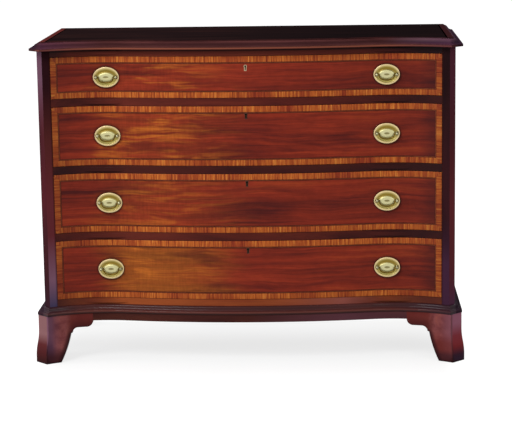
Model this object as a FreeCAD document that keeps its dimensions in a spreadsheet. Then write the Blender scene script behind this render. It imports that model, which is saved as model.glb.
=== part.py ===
import FreeCAD, Part
import math
import os

import Sketcher
from FreeCAD import Placement, Rotation, Vector

# Serpentine chest of four drawers: a joined carcass on bracket feet, four dovetailed drawers with crossbanded
# serpentine fronts, brass bail pulls and drawer locks.
# Millimetres, +Z up, the front faces -Y, +X is the viewer's right, the origin is on the floor at the middle.

SIZES = (
    ("top_width", 1225.0, "width of the top over its lower fillet"),
    ("total_height", 926.0, "floor to the top face"),
    ("corner_front", 236.3, "origin to the plane of the carcass's two front corners"),
    ("top_back", 267.2, "origin to the back edge of the top"),
    ("back_margin", 6.0, "overhang of the top behind the carcass"),
    ("top_overhang", 20.5, "overhang of the top beyond the carcass sides"),
    ("top_thick", 23.0, "thickness of the top"),
    ("top_inset", 26.0, "width of the moulded edge of the top"),
    ("top_fillet", 6.5, "height of the lower fillet of the top"),
    ("top_quirk", 2.0, "small upright step under the top face"),
    ("top_ledge", 1.5, "flat step above the lower fillet"),
    ("valley_x", 412.0, "middle of the chest to the deepest part of the serpentine"),
    ("valley_depth", 37.5, "depth of the serpentine behind its middle swell"),
    ("end_radius", 330.0, "radius of the hollow ends of the serpentine"),
    ("cant", 16.5, "width and depth of the canted corners"),
    ("stile", 21.0, "front face of a corner post beside the drawers"),
    ("post_depth", 62.0, "corner post from its front corner to the side board"),
    ("side_thick", 20.0, "thickness of the side boards"),
    ("tongue", 7.0, "thickness of the tongue between side and post"),
    ("tongue_reach", 10.0, "length of that tongue"),
    ("rabbet", 10.0, "rabbet for the back boards, and their thickness"),
    ("base_height", 138.5, "floor to the underside of the base moulding"),
    ("drawers_low", 179.5, "floor to the lowest drawer opening"),
    ("drawer_height", 172.5, "height of the three deep drawer openings"),
    ("top_drawer_height", 120.0, "height of the top drawer opening"),
    ("rail", 22.0, "height of the dividers between drawers"),
    ("rail_reach", 110.0, "front corner plane to the back edge of the rails"),
    ("tenon_front", 38.0, "front corner plane to the rail tenons"),
    ("tenon", 14.0, "length of the rail tenons"),
    ("bottom_thick", 10.0, "thickness of the carcass bottom"),
    ("runner_width", 40.0, "width of the drawer runners"),
    ("guide_height", 20.0, "height of the guide along each runner"),
    ("guide_gap", 0.5, "guide set back from the post's inner face"),
    ("dust_thick", 8.0, "thickness of the dust boards"),
    ("dust_groove", 6.0, "depth of the grooves that hold the dust boards"),
    ("stop_width", 30.0, "width of a drawer stop"),
    ("stop_depth", 14.0, "depth of a drawer stop"),
    ("stop_gap", 0.5, "closed drawer front to its stops"),
    ("stop_height", 6.0, "height of a drawer stop"),
    ("moulding_out", 21.0, "projection of the base moulding"),
    ("moulding_height", 22.0, "height of the base moulding"),
    ("frame_width", 60.0, "carcass face to the inner edge of the moulded base frame"),
    ("nose_height", 6.0, "upright part of the moulding's nose"),
    ("nose_radius", 3.0, "rounding of the nose"),
    ("nose_ledge", 2.5, "flat step behind the nose"),
    ("moulding_top", 2.0, "thickness of the moulding at its top"),
    ("bracket_out", 19.5, "projection of the bracket base"),
    ("bracket_thick", 20.0, "thickness of the bracket boards"),
    ("flare", 7.5, "outward sweep of the feet"),
    ("cant_flare", 13.0, "outward sweep of the feet at their canted corners"),
    ("flare_top", 95.0, "height at which the sweep starts"),
    ("flare_low", 18.0, "height at which the sweep ends"),
    ("toe_round", 1.5, "rounding of the foot's lower edge"),
    ("apron_low", 116.5, "floor to the lower edge of the apron"),
    ("toe_front", 545.5, "middle of the chest to the inner edge of a front toe"),
    ("toe_side", 70.0, "carcass front or back to the inner edge of a toe, on the sides"),
    ("leg_lean", 27.5, "sweep of the inner edge of a leg"),
    ("leg_height", 83.0, "height of the swept inner edge of a leg"),
    ("bracket_low", 98.5, "floor to the underside of a bracket"),
    ("bracket_quirk", 4.0, "small ledge on top of the leg"),
    ("bracket_fillet", 17.0, "radius between that ledge and the bracket"),
    ("bracket_turn", 19.0, "width of ledge and rounding"),
    ("bracket_run", 26.5, "flat underside of a bracket"),
    ("leg_radius", 340.0, "radius of the swept inner edge"),
    ("rear_foot_width", 140.0, "width of the rear feet across the back"),
    ("block_size", 44.0, "width of the corner blocks in the feet"),
    ("block_setback", 4.0, "corner blocks behind the edge of a toe"),
    ("block_lift", 3.0, "corner blocks clear of the floor"),
    ("drawer_play", 1.0, "gap at each end of a drawer front"),
    ("gap_low", 0.8, "gap under a drawer"),
    ("gap_high", 1.2, "gap over a drawer front"),
    ("front_thick", 24.0, "thickness of a drawer front"),
    ("front_landing", 23.5, "flat end of a drawer front, for the dovetails"),
    ("drawer_reach", 470.0, "front corner plane to the back of a drawer"),
    ("drawer_side", 12.0, "thickness of the drawer sides"),
    ("drawer_back", 11.0, "thickness of the drawer backs"),
    ("tail_reach", 22.0, "length of the lapped dovetails"),
    ("side_drop", 3.0, "drawer sides below the top of the front"),
    ("back_drop", 10.0, "drawer backs below the top of the front"),
    ("panel_lift", 11.0, "drawer bottom above the drawer's lower edge"),
    ("panel_thick", 7.0, "thickness of the drawer bottoms"),
    ("panel_groove", 5.0, "depth of the grooves for the drawer bottom"),
    ("band_width", 16.5, "width of the crossbanding"),
    ("band_thick", 1.2, "thickness of the crossbanding"),
    ("pull_x", 399.0, "middle of the chest to the middle of a pull"),
    ("plate_a", 37.5, "half width of a pull plate"),
    ("plate_b", 29.5, "half height of a pull plate"),
    ("plate_seat", 5.0, "valley of the drawer front to the plate's own plane"),
    ("plate_floor", 0.8, "recessed floor of the plate before that plane"),
    ("plate_rim", 2.4, "raised rim of the plate before that plane"),
    ("rim_slope", 1.5, "width of each slope of the rim"),
    ("boss_a", 22.5, "half width of the central boss"),
    ("boss_b", 13.4, "half height of the central boss"),
    ("boss_slope", 4.5, "how much the boss narrows to its face"),
    ("boss_rise", 4.6, "face of the boss before the plate's plane"),
    ("post_x", 28.5, "middle of a pull to its posts"),
    ("bail_axis", 8.5, "hinge line of a bail before the plate's plane"),
    ("ball_radius", 4.6, "radius of the round head of a post"),
    ("shank_radius", 3.0, "radius of the shank of a post"),
    ("neck_radius", 2.6, "radius of the neck of a post"),
    ("collar_thick", 1.6, "thickness of the collar of a post"),
    ("collar_radius", 3.8, "radius of the collar of a post"),
    ("shank_reach", 42.5, "hinge line to the end of a post"),
    ("nut_radius", 7.0, "radius of the nuts inside the drawer"),
    ("nut_thick", 8.0, "blank length of a nut before it is seated"),
    ("wire_radius", 1.6, "radius of the bail"),
    ("pin_play", 0.4, "play of the bail's ends in the posts"),
    ("bail_drop", 15.5, "hinge line to the lowest part of the bail"),
    ("bail_radius", 40.0, "radius of the lowest part of the bail"),
    ("bail_shoulder", 10.6, "radius of the bail where its sides turn into its lowest part"),
    ("bail_bend", 3.0, "radius of the bends beside the posts"),
    ("bail_end", 29.5, "middle of a bail to its ends"),
    ("keyhole_drop", 24.5, "top of a deep drawer opening to the round of its keyhole"),
    ("top_keyhole_drop", 30.0, "top of the top drawer opening to the round of its keyhole"),
    ("keyhole_round", 2.7, "radius of the round of a keyhole"),
    ("keyhole_slot", 1.5, "half width of the slot of a keyhole"),
    ("keyhole_reach", 11.0, "round of a keyhole to the foot of its slot"),
    ("lining_wall", 1.9, "thickness of the brass keyhole lining"),
    ("lining_proud", 0.2, "lining before the face of the wood"),
    ("lining_depth", 4.0, "depth of the brass keyhole lining"),
    ("lock_width", 60.0, "width of a lock case"),
    ("lock_height", 46.0, "height of a lock case"),
    ("lock_front", 12.0, "wood before a lock case"),
    ("lock_depth", 13.0, "depth of a lock case"),
    ("bolt_width", 20.0, "width of a lock bolt"),
    ("bolt_thick", 6.0, "thickness of a lock bolt"),
    ("bolt_sink", 0.6, "drawn-back bolt below the top of its lock"),
    ("bolt_height", 18.0, "height of a lock bolt"),
)

BACK_BOARDS = 5             # upright boards that close the back
BOARD_GAP = 1.0             # gap between two back boards
DEEP_TAILS = 4              # dovetails at each corner of a deep drawer
SHALLOW_TAILS = 3           # dovetails at each corner of the top drawer
TAIL_ROOT = 0.28            # start of a tail at its root, as a share of the pitch
TAIL_TIP = 0.16             # start of a tail at its tip, as a share of the pitch
OVAL_END = 0.72             # end radius of an oval, as a share of its half height
CANT_ANGLE = 45.0           # degrees
BEYOND = 700.0              # past any face of the chest, for cutting solids
PAST = 10.0                 # a cutting solid's overshoot
CORE_INSET = 45.0           # moulded edge that is swept before the plain core of a block begins

doc = FreeCAD.newDocument("serpentine_chest")
sheet = doc.addObject("Spreadsheet::Sheet", "sizes")
for row, (alias, number, meaning) in enumerate(SIZES, start=1):
    sheet.set(f"A{row}", meaning)
    sheet.set(f"B{row}", str(number))
    sheet.setAlias(f"B{row}", alias)
doc.recompute()


class Size:
    """A length held as a number and as an expression on the sheet's cells, so that arithmetic keeps both."""

    def __init__(self, value, text):
        self.value = value
        self.text = text

    def joined(self, other, sign, value):
        return Size(value, f"({self.text} {sign} {other.text})")

    def __add__(self, other):
        other = as_size(other)
        return self.joined(other, "+", self.value + other.value)

    def __sub__(self, other):
        other = as_size(other)
        return self.joined(other, "-", self.value - other.value)

    def __mul__(self, other):
        other = as_size(other)
        return self.joined(other, "*", self.value * other.value)

    def __truediv__(self, other):
        other = as_size(other)
        return self.joined(other, "/", self.value / other.value)

    def __neg__(self):
        return Size(-self.value, f"(0 - {self.text})")


def as_size(item):
    return item if isinstance(item, Size) else Size(float(item), f"{float(item):.6f}")


def root(size):
    return Size(math.sqrt(size.value), f"sqrt({size.text})")


def square(size):
    return size * size


S = {alias: Size(number, f"{sheet.Name}.{alias}") for alias, number, meaning in SIZES}
nodes = {}


def bind(item, prop, size):
    item.setExpression(prop, as_size(size).text)


def node(name, item):
    """Registers a finished piece under the name of its file."""
    item.Label = name
    nodes[name] = item
    return item


# Sketches

def arc_middle(start, end, turn):
    """Middle point of the shorter arc of signed radius from start to end, positive when it turns left."""
    chord = end - start
    half = chord.Length / 2
    rise = abs(turn) - math.sqrt(max(turn * turn - half * half, 0.0))
    right = Vector(chord.y, -chord.x, 0).normalize()
    return (start + end) / 2 + right * (rise if turn > 0 else -rise)


def draw(sketch, steps, closed=True):
    """Draws an outline and binds each corner and radius to the sheet. A step is the corner (x, y), or
    (x, y, turn) where an arc of that signed radius leads on to the next corner."""
    steps = [tuple(as_size(item) for item in step) for step in steps]
    corners = [Vector(step[0].value, step[1].value, 0) for step in steps]
    count = len(steps) if closed else len(steps) - 1
    constraints = []
    expressions = []

    def add(size, *constraint):
        expressions.append((len(constraints), size.text))
        constraints.append(Sketcher.Constraint(*constraint, size.value))

    ends = []
    for index in range(count):
        start = corners[index]
        end = corners[(index + 1) % len(corners)]
        if len(steps[index]) == 2:
            ends.append((sketch.addGeometry(Part.LineSegment(start, end)), 1, 2))
            continue
        turn = steps[index][2]
        middle = arc_middle(start, end, turn.value)
        left = turn.value > 0
        arc = Part.Arc(start, middle, end) if left else Part.Arc(end, middle, start)
        edge = sketch.addGeometry(arc)
        ends.append((edge, 1, 2) if left else (edge, 2, 1))
        add(turn if left else -turn, "Radius", edge)
    for index in range(len(steps)):
        edge, first, last = ends[min(index, count - 1)]
        place = first if index < count else last
        add(steps[index][0], "DistanceX", edge, place)
        add(steps[index][1], "DistanceY", edge, place)
        if closed or 0 < index < count:
            before, before_first, before_last = ends[index - 1]
            constraints.append(Sketcher.Constraint("Coincident", before, before_last, edge, first))
    sketch.addConstraint(constraints)
    for index, text in expressions:
        sketch.setExpression(f"Constraints[{index}]", text)


def circle(sketch, x, y, radius):
    x, y, radius = as_size(x), as_size(y), as_size(radius)
    centre = Vector(x.value, y.value, 0)
    edge = sketch.addGeometry(Part.Circle(centre, Vector(0, 0, 1), radius.value))
    bound = (("Radius", (edge,), radius), ("DistanceX", (edge, 3), x), ("DistanceY", (edge, 3), y))
    for index, (kind, where, size) in enumerate(bound):
        sketch.addConstraint(Sketcher.Constraint(kind, *where, size.value))
        sketch.setExpression(f"Constraints[{index}]", size.text)


def plane_of(body, plane):
    return next(item for item in body.Origin.OriginFeatures if item.Role == f"{plane}_Plane")


def sketch_on(body, plane, at, name, origin=None):
    """Empty sketch on one of the body's own planes, moved along that plane's axis to the coordinate at."""
    sketch = body.newObject("Sketcher::SketchObject", name)
    sketch.AttachmentSupport = [(plane_of(body, plane), "")]
    sketch.MapMode = "FlatFace"
    at = as_size(at)
    bind(sketch, "AttachmentOffset.Base.z", -at if plane == "XZ" else at)
    if origin:
        bind(sketch, "AttachmentOffset.Base.x", origin[0])
        bind(sketch, "AttachmentOffset.Base.y", origin[1])
    return sketch


# Solids

def add_pad(body, plane, steps, at, length, name):
    """Pads an outline from the coordinate at, towards the plus end of the axis."""
    sketch = sketch_on(body, plane, at, f"{name}_sketch")
    draw(sketch, steps)
    pad = body.newObject("PartDesign::Pad", f"{name}_pad")
    pad.Profile = sketch
    pad.Reversed = plane == "XZ"
    bind(pad, "Length", length)
    return pad


def new_body(name):
    return doc.addObject("PartDesign::Body", name)


def prism(name, plane, steps, at, length):
    body = new_body(name)
    add_pad(body, plane, steps, at, length, name)
    return body


def box(name, low, high):
    """Box between two corners."""
    solid = doc.addObject("Part::Box", name)
    for prop, axis, start, end in zip(("Length", "Width", "Height"), "xyz", low, high):
        bind(solid, prop, as_size(end) - start)
        bind(solid, f"Placement.Base.{axis}", start)
    return solid


def cut(name, base, *tools):
    for index, tool in enumerate(tools, start=1):
        result = doc.addObject("Part::Cut", name if index == len(tools) else f"{name}_stage_{index}")
        result.Base = base
        result.Tool = tool
        base = result
    return base


def common(name, *shapes):
    result = doc.addObject("Part::MultiCommon", name)
    result.Shapes = list(shapes)
    return result


def group(name, *shapes):
    result = doc.addObject("Part::Compound", name)
    result.Links = list(shapes)
    return result


def mirror(name, source):
    """The same piece on the other side of the chest's middle plane."""
    result = doc.addObject("Part::Mirroring", name)
    result.Source = source
    result.Normal = Vector(1, 0, 0)
    return result


# Plan of the chest: a middle swell and two hollow ends, all arcs that run into each other

front = -S["corner_front"]
case_half = S["top_width"] / 2 - S["top_overhang"]
corner_x = case_half - S["cant"]
opening = corner_x - S["stile"]
case_back = S["top_back"] - S["back_margin"]
back_inside = case_back - S["rabbet"]
side_inside = case_half - S["side_thick"]
top_low = S["total_height"] - S["top_thick"]
rail_back = front + S["rail_reach"]

end_centre = front - root(square(S["end_radius"]) - square(corner_x - S["valley_x"]))
valley_y = end_centre + S["end_radius"]
swell_y = valley_y - S["valley_depth"]
arc_span = (square(S["valley_x"]) + square(S["valley_depth"])) / (S["valley_depth"] * 2)
mid_radius = arc_span - S["end_radius"]
mid_centre = swell_y + mid_radius


def join_point(out):
    """Where the swell runs into the hollow end, on a front that stands out before the carcass."""
    share = (mid_radius + out) / arc_span
    return S["valley_x"] * share, mid_centre - (mid_centre - end_centre) * share


def end_y(out, x):
    """Depth of the hollow end at the distance x from the middle."""
    return end_centre + root(square(S["end_radius"] - out) - square(as_size(x) - S["valley_x"]))


def front_run(out, x, y):
    """Front edge from left to right between (-x, y) and (x, y), without the last corner."""
    join_x, join_y = join_point(out)
    hollow = S["end_radius"] - out
    return [(-x, y, -hollow), (-join_x, join_y, mid_radius + out), (join_x, join_y, -hollow)]


def back_run(out, x, y):
    """The same edge from right to left."""
    join_x, join_y = join_point(out)
    hollow = S["end_radius"] - out
    return [(x, y, hollow), (join_x, join_y, -(mid_radius + out)), (-join_x, join_y, hollow)]


def front_corner(out):
    """Where the front meets the canted corner."""
    reach = corner_x - front + as_size(out) * math.sqrt(2)
    across = reach - S["valley_x"]
    depth = -end_centre
    radius = S["end_radius"] - out
    y = (root(square(radius) * 2 - square(across - depth)) - (across + depth)) / 2
    return reach + y, y


def rear_corner(out):
    """Where the canted corner meets the side."""
    x = case_half + out
    return x, x - (corner_x - front + as_size(out) * math.sqrt(2))


def plan_outline(out, back):
    """Outline of the whole chest at a distance out from the carcass."""
    out = as_size(out)
    x, y = front_corner(out)
    side_x, side_y = rear_corner(out)
    corners = [(x, y), (side_x, side_y), (side_x, back), (-side_x, back), (-side_x, side_y)]
    return front_run(out, x, y) + corners


# Moulded blocks: each run carries the same section, and the corners are where the runs cut each other off

def returned(section):
    """A section walked from its highest to its lowest corner and turned to face the other way."""
    turns = [step[2:] for step in section[:-1]]
    walked = zip(section[::-1], turns[::-1] + [()])
    return [(-step[0], step[1], *turn) for step, turn in walked]


def moulded_block(name, section, low, back, cant_section=None):
    """Block with one moulded section along its front and sides, and the same or another one on its canted
    corners. A section is walked from its lowest to its highest corner, each given as distance out from the
    carcass and height."""
    outer = [(as_size(step[0]), low + step[1], *step[2:]) for step in section]
    bottom = outer[0][1]
    top = outer[-1][1]
    reach = case_half + S["moulding_out"] + PAST

    run = new_body(f"{name}_front_run")
    core_out = as_size(-CORE_INSET)
    core_y = end_y(core_out, reach)
    core = front_run(core_out, reach, core_y) + [(reach, core_y), (reach, back), (-reach, back)]
    add_pad(run, "XY", core, bottom, top - bottom, f"{name}_core")
    path = sketch_on(run, "XY", bottom, f"{name}_path")
    join_x, join_y = join_point(0)
    start = (0, swell_y, mid_radius)
    draw(path, [start, (join_x, join_y, -S["end_radius"]), (reach, end_y(0, reach))], closed=False)
    profile = sketch_on(run, "YZ", 0, f"{name}_profile")
    inner = swell_y + CORE_INSET + PAST
    face = [(swell_y + step[0], *step[1:]) for step in returned(outer)]
    draw(profile, face + [(inner, bottom), (inner, top)])
    pipe = run.newObject("PartDesign::AdditivePipe", f"{name}_pipe")
    pipe.Profile = profile
    pipe.Spine = path
    doc.recompute()
    other = run.newObject("PartDesign::Mirrored", f"{name}_other_half")
    other.Originals = [pipe]
    other.MirrorPlane = (plane_of(run, "YZ"), [""])
    run.Tip = other

    right = [(case_half + step[0], *step[1:]) for step in outer]
    left = [(step[0] - case_half, *step[1:]) for step in returned(outer)]
    sides = prism(f"{name}_side_runs", "XZ", right + left, -BEYOND, back + BEYOND)

    cant_out = (corner_x - front) / math.sqrt(2)
    diagonal = [(cant_out + step[0], low + step[1], *step[2:]) for step in cant_section or section]
    diagonal += [(-BEYOND * 2, top), (-BEYOND * 2, bottom)]
    cant_run = prism(f"{name}_cant_run", "XZ", diagonal, -BEYOND * 2, BEYOND * 4)
    cant_run.Placement = Placement(Vector(0, 0, 0), Rotation(Vector(0, 0, 1), -CANT_ANGLE))
    both_cants = common(f"{name}_both_cants", cant_run, mirror(f"{name}_left_cant_run", cant_run))
    return common(name, run, common(f"{name}_straight_runs", sides, both_cants))


def flat_ogee(out, z, end_out, end_z):
    """Two equal arcs, hollow then round, level at both ends; the next corner is (end_out, end_z)."""
    width = as_size(out) - end_out
    rise = as_size(end_z) - z
    radius = (square(width) + square(rise)) / (rise * 4)
    return [(out, z, -radius), (out - width / 2, z + rise / 2, radius)]


def upright_ogee(out, z, end_out, end_z):
    """Two equal arcs, round then hollow, upright at both ends; the next corner is (end_out, end_z)."""
    width = as_size(out) - end_out
    rise = as_size(end_z) - z
    radius = (square(width) + square(rise)) / (width * 4)
    return [(out, z, radius), (out - width / 2, z + rise / 2, -radius)]


# Top

zero = as_size(0)
top_edge = S["top_overhang"]
top_arris = top_edge - S["top_inset"]
quirk_low = S["top_thick"] - S["top_quirk"]
top_section = [(top_edge, zero), (top_edge, S["top_fillet"])]
top_section += flat_ogee(top_edge - S["top_ledge"], S["top_fillet"], top_arris, quirk_low)
top_section += [(top_arris, quirk_low), (top_arris, S["top_thick"])]
node("top_board", moulded_block("top_board", top_section, top_low, S["top_back"]))

# Drawer levels, from the lowest opening upwards

pitch = S["drawer_height"] + S["rail"]
opening_lows = [S["drawers_low"] + pitch * step for step in range(4)]
opening_heights = [S["drawer_height"]] * 3 + [S["top_drawer_height"]]
top_rail_low = opening_lows[3] + S["top_drawer_height"]

# Corner posts, sides, back and bottom

post_back = front + S["post_depth"]
tongue_in = case_half - (S["side_thick"] + S["tongue"]) / 2
tongue_out = tongue_in + S["tongue"]
tongue_front = post_back - S["tongue_reach"]
case_low = S["base_height"] + S["moulding_height"]
case_tall = top_low - case_low


def rail(name, low, height):
    """Serpentine rail with a stub tenon at each end."""
    body = new_body(name)
    end = end_y(0, opening)
    edge = front_run(zero, opening, end) + [(opening, end), (opening, rail_back), (-opening, rail_back)]
    add_pad(body, "XY", edge, low, height, name)
    reach = opening + S["tenon"]
    tenon_front = front + S["tenon_front"]
    tenon_back = tenon_front + S["tenon"]
    tenon = [(-reach, tenon_front), (reach, tenon_front), (reach, tenon_back), (-reach, tenon_back)]
    add_pad(body, "XY", tenon, low + height / 4, height / 2, f"{name}_tenon")
    return body


top_rail = node("top_rail", rail("top_rail", top_rail_low, top_low - top_rail_low))
bottom_rail = node("bottom_rail", rail("bottom_rail", case_low, S["drawers_low"] - case_low))
dividers = [rail(f"divider_{step}", opening_lows[step] - S["rail"], S["rail"]) for step in (1, 2, 3)]
divider_blanks = group("divider_blanks", *dividers)

post_plan = [
    (opening, end_y(0, opening), -S["end_radius"]), (corner_x, front), (case_half, front + S["cant"]),
    (case_half, post_back), (tongue_out, post_back), (tongue_out, tongue_front), (tongue_in, tongue_front),
    (tongue_in, post_back), (opening, post_back)]
post_blank = prism("post_blank", "XY", post_plan, case_low, case_tall)
right_post = cut("right_corner_post", post_blank, top_rail, bottom_rail, divider_blanks)
node("right_corner_post", right_post)
node("left_corner_post", mirror("left_corner_post", right_post))

rabbet_x = case_half - S["rabbet"]
side_plan = [
    (tongue_in, tongue_front), (tongue_out, tongue_front), (tongue_out, post_back), (case_half, post_back),
    (case_half, case_back), (rabbet_x, case_back), (rabbet_x, back_inside), (side_inside, back_inside),
    (side_inside, post_back), (tongue_in, post_back)]
right_side = node("right_side", prism("right_side", "XY", side_plan, case_low, case_tall))
node("left_side", mirror("left_side", right_side))

board_width = rabbet_x * 2 / BACK_BOARDS
boards = []
for step in range(BACK_BOARDS):
    board_left = board_width * step - rabbet_x
    low_corner = (board_left, back_inside, case_low)
    high_corner = (board_left + board_width - BOARD_GAP, case_back, top_low)
    boards.append(box(f"back_board_{step + 1}", low_corner, high_corner))
node("back_boards", group("back_boards", *boards))

bottom_high = case_low + S["bottom_thick"]
node("bottom_board", box("bottom_board", (-side_inside, rail_back, case_low),
                         (side_inside, back_inside, bottom_high)))

# Runners with guides, kickers, dust boards and drawer stops

runner_x = side_inside - S["runner_width"]
guide_x = opening + S["guide_gap"]
runner_length = back_inside - rail_back
dust_x = runner_x + S["dust_groove"]
dust = []
for step, low in enumerate(opening_lows[1:], start=1):
    dust_low = low - S["rail"] / 2 - S["dust_thick"] / 2
    dust.append(box(f"dust_board_{step}", (-dust_x, rail_back - S["dust_groove"], dust_low),
                    (dust_x, back_inside, dust_low + S["dust_thick"])))
dust_boards = node("dust_boards", group("dust_boards", *dust))
node("drawer_dividers", cut("drawer_dividers", divider_blanks, dust_boards))

runner_lows = [bottom_high] + [low - S["rail"] for low in opening_lows[1:]]
right_runners = []
for step, (runner_low, low) in enumerate(zip(runner_lows, opening_lows), start=1):
    guide_high = low + S["guide_height"]
    runner_end = [(runner_x, runner_low), (side_inside, runner_low), (side_inside, guide_high),
                  (guide_x, guide_high), (guide_x, low), (runner_x, low)]
    right_runners.append(prism(f"runner_{step}", "XZ", runner_end, rail_back, runner_length))
right_runners.append(box("kicker", (runner_x, rail_back, top_rail_low), (side_inside, back_inside, top_low)))
runner_side = cut("runner_side", group("runner_blanks", *right_runners), dust_boards)
node("drawer_runners", group("drawer_runners", runner_side, mirror("runner_other_side", runner_side)))

stop_front = valley_y + S["front_thick"] + S["stop_gap"]
stop_half = S["stop_width"] / 2
right_stops = group("right_stops", *[
    box(f"stop_{step}", (S["valley_x"] - stop_half, stop_front, low),
        (S["valley_x"] + stop_half, stop_front + S["stop_depth"], low + S["stop_height"]))
    for step, low in enumerate(opening_lows, start=1)])
node("drawer_stops", group("drawer_stops", right_stops, mirror("left_stops", right_stops)))

# Base moulding: a moulded frame that the carcass stands on

nose = S["moulding_out"]
nose_high = S["nose_height"] + S["nose_radius"]
nose_back = nose - S["nose_radius"]
moulding_top = S["moulding_top"]
base_section = [(nose, zero), (nose, S["nose_height"], S["nose_radius"]), (nose_back, nose_high)]
base_section += flat_ogee(nose_back - S["nose_ledge"], nose_high, moulding_top, S["moulding_height"])
base_section += [(moulding_top, S["moulding_height"])]
moulding_block = moulded_block("moulding_block", base_section, S["base_height"], case_back)
frame_out = -S["frame_width"]
frame_x = case_half + frame_out
frame_front = end_y(frame_out, frame_x)
frame_back = case_back + frame_out
frame_plan = front_run(frame_out, frame_x, frame_front)
frame_plan += [(frame_x, frame_front), (frame_x, frame_back), (-frame_x, frame_back)]
frame_hollow = prism("frame_hollow", "XY", frame_plan, zero, case_low + PAST)
node("base_moulding", cut("base_moulding", moulding_block, frame_hollow))

# Bracket base: one mitred ring, shaped to brackets, then parted into feet and aprons


def foot_section(flare):
    """Section of the bracket base, upright above and swept outward to the toe."""
    upright = S["bracket_out"]
    toe = upright + flare
    toe_round = S["toe_round"]
    sweep = upright_ogee(toe, S["flare_low"], upright, S["flare_top"])
    return [(toe - toe_round, zero, toe_round), (toe, toe_round), *sweep, (upright, S["flare_top"]),
            (upright, S["base_height"])]


bracket_block = moulded_block("bracket_block", foot_section(S["flare"]), zero, case_back,
                              foot_section(S["cant_flare"]))
ring_inside = S["bracket_out"] - S["bracket_thick"]
ring_back = case_back - S["bracket_thick"]
above_base = S["base_height"] + PAST
hollow = prism("base_hollow", "XY", plan_outline(ring_inside, ring_back), -PAST, above_base + PAST)

nose_reach = S["apron_low"] - S["bracket_low"]
bracket_reach = S["leg_lean"] + S["bracket_turn"] + S["bracket_run"] + nose_reach


def bracket_gap(middle, half):
    """Opening between two bracket feet: swept legs, rounded brackets and a straight apron."""
    leg = half - S["leg_lean"]
    ledge = leg - S["bracket_quirk"]
    turn = leg - S["bracket_turn"]
    lobe = turn - S["bracket_run"]
    apron = lobe - nose_reach
    leg_high, bracket_low, apron_low = S["leg_height"], S["bracket_low"], S["apron_low"]
    sweep, fillet = -S["leg_radius"], S["bracket_fillet"]
    right = [(half, zero, sweep), (leg, leg_high), (ledge, leg_high, fillet), (turn, bracket_low),
             (lobe, bracket_low, -nose_reach), (apron, apron_low)]
    left = [(-apron, apron_low, -nose_reach), (-lobe, bracket_low), (-turn, bracket_low, fillet),
            (-ledge, leg_high), (-leg, leg_high, sweep), (-half, zero)]
    floor = [(-half, -PAST), (half, -PAST)]
    return [(middle + step[0], *step[1:]) for step in [*floor[1:], *right, *left, *floor[:1]]]


side_middle = (front + case_back) / 2
side_half = (case_back - front) / 2 - S["toe_side"]
front_gap = prism("front_gap", "XZ", bracket_gap(zero, S["toe_front"]), -BEYOND, rail_back + BEYOND)
side_gap = prism("side_gap", "YZ", bracket_gap(side_middle, side_half), -BEYOND, BEYOND * 2)
rear_toe = case_half - S["toe_side"]
rear_bracket = case_half - S["rear_foot_width"]
rear_shape = [(-rear_toe, -PAST), (rear_toe, -PAST), (rear_bracket, above_base), (-rear_bracket, above_base)]
rear_gap = prism("rear_gap", "XZ", rear_shape, ring_back - PAST, S["bracket_thick"] + PAST * 2)
bracket_ring = cut("bracket_ring", bracket_block, hollow, front_gap, side_gap, rear_gap)

apron_x = S["toe_front"] - bracket_reach
apron_front = side_middle - side_half + bracket_reach
apron_rear = side_middle + side_half - bracket_reach
right_foot_zones = {
    "front": box("front_foot_zone", (apron_x, -BEYOND, -PAST), (BEYOND, apron_front, above_base)),
    "rear": box("rear_foot_zone", (zero, apron_rear, -PAST), (BEYOND, BEYOND, above_base)),
}
for where, zone in right_foot_zones.items():
    foot = node(f"{where}_right_foot", common(f"{where}_right_foot", bracket_ring, zone))
    node(f"{where}_left_foot", mirror(f"{where}_left_foot", foot))
side_apron_zone = box("side_apron_zone", (apron_x, apron_front, -PAST), (BEYOND, apron_rear, above_base))
front_apron_zone = box("front_apron_zone", (-apron_x, -BEYOND, -PAST), (apron_x, rail_back, above_base))
other_apron_zone = mirror("other_apron_zone", side_apron_zone)
apron_zones = group("apron_zones", front_apron_zone, side_apron_zone, other_apron_zone)
node("base_aprons", common("base_aprons", bracket_ring, apron_zones))

block_x = S["toe_front"] + S["block_setback"]
front_block = box("front_block", (block_x, -BEYOND, S["block_lift"]),
                  (BEYOND, front + S["toe_side"] - S["block_setback"], S["base_height"]))
rear_block = box("rear_block", (case_half - S["block_size"], ring_back - S["block_size"], S["block_lift"]),
                 (BEYOND, BEYOND, S["base_height"]))
right_blocks = common("right_blocks", hollow, group("block_zones", front_block, rear_block))
node("foot_blocks", group("foot_blocks", right_blocks, mirror("left_blocks", right_blocks)))

# Brass pulls: a stamped oval plate, two turned posts with nuts, and a bail that swings between them

plate_y = valley_y - S["plate_seat"]
axis_y = plate_y - S["bail_axis"]


def oval(x, z, half_width, half_height):
    """Oval of four arcs that run into each other."""
    half_width, half_height = as_size(half_width), as_size(half_height)
    end = half_height * OVAL_END
    spread = half_width - end
    flat = (square(spread) + square(half_height) - square(end)) / ((half_height - end) * 2)
    share = end / (flat - end)
    join_x = spread + spread * share
    join_z = (flat - half_height) * share
    return [(x + join_x, z - join_z, end), (x + join_x, z + join_z, flat),
            (x - join_x, z + join_z, end), (x - join_x, z - join_z, flat)]


def loft(body, kind, x, z, first, second, name):
    """Ruled loft between two ovals, each given as (y, half width, half height)."""
    sketches = []
    for step, (y, half_width, half_height) in enumerate((first, second), start=1):
        sketch = sketch_on(body, "XZ", y, f"{name}_oval_{step}")
        draw(sketch, oval(x, z, half_width, half_height))
        sketches.append(sketch)
    feature = body.newObject(f"PartDesign::{kind}Loft", name)
    feature.Profile = sketches[0]
    feature.Sections = [sketches[1]]
    feature.Ruled = True
    doc.recompute()


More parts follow.
